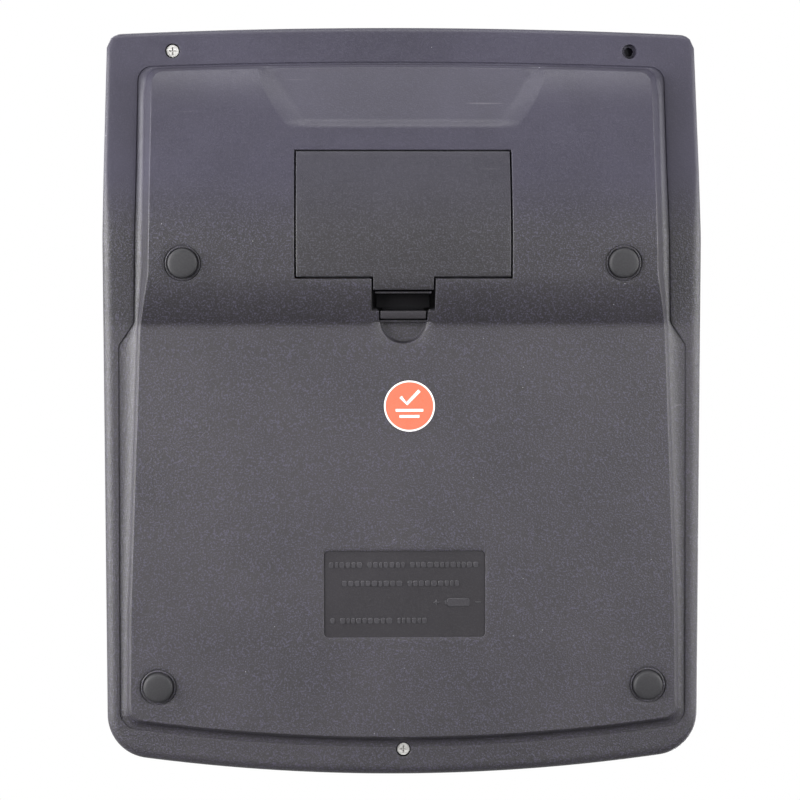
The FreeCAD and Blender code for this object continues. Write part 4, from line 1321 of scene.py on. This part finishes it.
def sticker_print():
    """White print on the round label: a tick over two short rules, seen from below."""
    skin = Skin()

    def stroke(points, half):
        row = np.array(points, float)
        way = np.gradient(row, axis=0)
        way /= np.linalg.norm(way, axis=1, keepdims=True)
        side = np.stack([-way[:, 1], way[:, 0]], 1) * half
        loop = np.concatenate([row + side, (row - side)[::-1]]) + (-1.6, -0.6)
        z = rim_height(loop[:, 1]) - PLATE_DROP
        skin.rings([lift(loop, z - 0.1), lift(loop, z - 0.14)])

    stroke([(2.3, 2.4), (0.7, 0.6), (-2.6, 4.0)], 0.42)
    stroke([(3.6, -1.1), (-3.6, -1.1)], 0.34)
    stroke([(2.6, -2.7), (-2.6, -2.7)], 0.34)
    return skin.mesh("label_print")


def display_digits():
    """A zero of six bars at the right of the display, and its point. Each bar is a lengthened hexagon."""
    skin = Skin()
    height, half, slant, thick = 13.0, 3.2, 0.09, 0.62

    def hexagon(cx, ct, length, upright):
        along = np.array([(-length, 0), (-length + thick, thick), (length - thick, thick), (length, 0),
                          (length - thick, -thick), (-length + thick, -thick)])
        row = along[:, ::-1] if upright else along
        x = row[:, 0] + cx
        t = row[:, 1] + ct
        x = x + (t - 26.0) * slant
        heights = (TOP_D - 2.42, TOP_D - 2.37)
        rows = [place_display(np.column_stack([x, t, np.full(6, h)])) for h in heights]
        skin.rings(rows)

    centre, base = 47.0, 26.0 - height / 2
    for t in (0, height):
        hexagon(centre, base + t, half - 0.25, False)
    for sx in (-1, 1):
        for t in (height / 4, height * 3 / 4):
            hexagon(centre + sx * half, base + t, height / 4 - 0.25, True)
    hexagon(centre + half + 2.2, base + 0.1, 0.75, False)
    return skin.mesh("display_zero")


# ------------------------------------------------------------------ building and fitting
def build():
    settle(case_bottom(), "case", "case", "case_black", "bottom_case")
    for room in battery_room():
        settle(room, "case", "inside", "case_black", "bottom_case")
    settle(panel_floor(), "case", "panel", "case_black", "bottom_case")
    settle(panel_marks(), "case", "mark", "case_black", "bottom_case")
    settle(case_top(), "case", "case", "case_black", "top_case")
    settle(keyboard_sheet(), "case", "sheet", "plate_metal", "keyboard_plate")
    settle(display_sheet(), "case", "gloss", "bezel_gloss", "display_bezel")
    settle(door(), "battery_door", "door", "case_black", "battery_door")
    for part in door_parts():
        settle(part, "battery_door", "door", "case_black", "battery_door")
    # the latch's arm and knee get the near-black finish, painted shade for the shadow in their slot; the nub
    # has the latch plastic
    for part, finish in zip(latch(), ("shade_black", "shade_black", "latch")):
        settle(part, "door_latch", finish, "case_black", "door_latch")
    for side, sign in (("left", -1), ("right", 1)):
        for end, x, y, top in (("rear", FOOT_REAR_X, FOOT_REAR_Y, HUMP_LOW + 0.85),
                               ("front", FOOT_FRONT_X, FOOT_FRONT_Y, 2.6)):
            foot = rubber_foot(f"button_{end}_{side}", sign * x, y, top)
            settle(foot, "case", "rubber", "foot_rubber", f"foot_{end}_{side}")
    # near-black rings round the screws: painted shade in the screw holes
    for name, x, y in (("screw_well_rear", SCREW_REAR_X, SCREW_REAR_Y),
                       ("screw_well_front", 0.0, SCREW_FRONT_Y)):
        settle(screw_shade_ring(name, x, y), "case", "shade_black", "case_black", "bottom_case")
    for name, x in KNOB_X.items():
        for part in knob(name + "_grip", x):
            settle(part, name, "knob", "knob_grey", name)
    settle(mat_sheet(), "case", "mat", "mat_rubber", "key_mat")
    for name, x, s, w, d in key_cells():
        kind = "key_light" if name[4:] in "0 00 1 2 3 4 5 6 7 8 9 point".split() else "key_dark"
        kind = "key_red" if name in ("key_all_clear", "key_clear") else kind
        settle(key_cap(name + "_cap", x, s, w, d), name, kind, kind, name)
        settle(legend(name, x, s, w, d), name, "dark_ink" if kind == "key_light" else "ink", kind, name)
        rubber = settle(dome(name + "_dome", x, s), "case", "mat", "mat_rubber", "key_mat")
        foot = place_keys([x, s, 2.1 + LIFT]) * MM
        name + "_press"
        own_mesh(rubber)
    settle(sticker_print(), "case", "ink", "sticker_orange")
    settle(display_digits(), "case", "segment", "lcd_glass")


def dress(frame):
    """New finishes for the fixed frame's own parts."""
    finishes = {"display_window": "window", "lcd_panel": "glass", "lcd_frame": "frame",
                "lcd_ribbon": "ribbon", "solar_cell": "solar", "main_board": "board", "chip_blob": "epoxy",
                "board_screws": "steel", "battery_cell": "cell", "contact_positive": "nickel",
                "contact_negative": "nickel", "contact_spring": "nickel", "screw_rear": "steel",
                "screw_front": "steel", "inspection_sticker": "sticker", "lead_wires": "wire"}
    for node, finish in finishes.items():
        for place in frame["nodes"][node].material_slots:
            place.material = FINISH[finish]


# ------------------------------------------------------------------ camera, light and floor
def set_camera():
    """Camera below the calculator, looking up at its underside, display edge at the top of the view."""
    tilt, distance = np.radians(5.3), 600.0
    target = Vector((0.4, 0.55, float(rim_height(0.5))))
    eye = target + distance * Vector((0, np.sin(tilt), -np.cos(tilt))) + Vector((15.8, 0, 0))
    look = (target - eye).normalized()
    up = (Vector((0, 1, 0)) - look * look.y).normalized()
    right = look.cross(up)
    camera = bpy.data.objects.new("camera", bpy.data.cameras.new("camera"))
    bpy.context.scene.collection.objects.link(camera)
    turn = Matrix((right, up, -look)).transposed().to_4x4()
    camera.matrix_world = Matrix.Translation(eye * MM) @ turn
    camera.data.sensor_width, camera.data.lens = 36.0, 103.0
    camera.data.shift_x, camera.data.shift_y = -0.0019, 0.0009
    camera.data.clip_start = 0.01
    bpy.context.scene.camera = camera


def softbox(name, place, aim, size, power):
    light = bpy.data.lights.new(name, "AREA")
    light.shape, light.size, light.size_y, light.energy = "RECTANGLE", size[0], size[1], power
    lamp = bpy.data.objects.new(name, light)
    bpy.context.scene.collection.objects.link(lamp)
    turn = (Vector(aim) - Vector(place)).to_track_quat("-Z", "Y")
    lamp.matrix_world = Matrix.Translation(place) @ turn.to_matrix().to_4x4()


def set_light():
    world = bpy.data.worlds.new("studio")
    world.use_nodes = True
    tree = world.node_tree
    ambient, backdrop = tree.nodes["Background"], tree.nodes.new("ShaderNodeBackground")
    ambient.inputs["Color"].default_value = (1, 1, 1, 1)
    backdrop.inputs["Color"].default_value, backdrop.inputs["Strength"].default_value = (1, 1, 1, 1), 1.0
    seen, mixer = tree.nodes.new("ShaderNodeLightPath"), tree.nodes.new("ShaderNodeMixShader")
    way, split = tree.nodes.new("ShaderNodeTexCoord"), tree.nodes.new("ShaderNodeSeparateXYZ")
    ramp = tree.nodes.new("ShaderNodeMapRange")
    for n, value in enumerate((-0.05, 0.2, 0.10, 0.92)):
        ramp.inputs[n + 1].default_value = value
    tree.links.new(way.outputs["Generated"], split.inputs[0])
    tree.links.new(split.outputs[2], ramp.inputs[0])
    tree.links.new(ramp.outputs[0], ambient.inputs["Strength"])
    tree.links.new(seen.outputs["Is Camera Ray"], mixer.inputs[0])
    tree.links.new(ambient.outputs[0], mixer.inputs[1])
    tree.links.new(backdrop.outputs[0], mixer.inputs[2])
    tree.links.new(mixer.outputs[0], tree.nodes["World Output"].inputs["Surface"])
    bpy.context.scene.world = world
    bpy.context.scene.view_settings.view_transform = "Standard"
    softbox("left_low", (0.75, 0.10, -0.14), (0.05, 0.0, 0.01), (0.25, 0.7), 4.1)
    softbox("left_below", (0.65, 0.14, -0.36), (0.02, 0.0, 0.0), (0.4, 0.7), 12.3)
    softbox("right_below", (-0.65, 0.14, -0.36), (-0.02, 0.0, 0.0), (0.4, 0.7), 3.4)
    softbox("right_steep", (-0.52, 0.14, -0.62), (0.0, 0.0, 0.0), (0.4, 0.6), 3.0)
    softbox("right_low", (-0.75, 0.10, -0.14), (-0.05, 0.0, 0.01), (0.25, 0.7), 5.0)
    softbox("rear_low", (0.0, 0.85, -0.16), (0.0, 0.05, 0.01), (0.8, 0.2), 4.7)
    softbox("over_left", (-0.55, -0.45, 0.85), (0.0, 0.0, 0.0), (0.6, 0.6), 9.0)
    softbox("over_rear", (0.5, 0.7, 0.7), (0.0, 0.0, 0.0), (0.5, 0.5), 5.0)


def set_floor():
    """Pale floor that shows only to a camera above it. It is clear from below and casts no shadow."""
    paint = Paint("floor_pale", (0.86, 0.86, 0.87), 0.6)
    cloud = paint.noise(120.0, 2.0)
    paint.set("Base Color", paint.blend(cloud, (0.84, 0.84, 0.85), (0.88, 0.88, 0.89)))
    behind = paint.node("ShaderNodeNewGeometry", {}, {}, "Backfacing")
    clear_side = paint.node("ShaderNodeBsdfTransparent", {}, {})
    surface = Wire(paint, paint.shader.outputs[0])
    both = paint.node("ShaderNodeMixShader", {}, {0: behind, 1: surface, 2: clear_side})
    output = paint.tree.nodes["Material Output"]
    paint.tree.links.new(both.socket, output.inputs["Surface"])
    skin = Skin()
    reach = spread([-3000.0, 3000.0], 600.0)
    x, y = np.meshgrid(reach, reach, indexing="ij")
    skin.grid(skin.add(np.stack([x, y, np.full(x.shape, -0.02)], -1)))
    floor = skin.mesh("floor", (0, 0, 1))
    floor.data.materials.append(paint.material)
    floor.visible_shadow = floor.visible_diffuse = floor.visible_glossy = floor.visible_transmission = False


set_camera()
set_light()
set_floor()
build()
dress(frame)
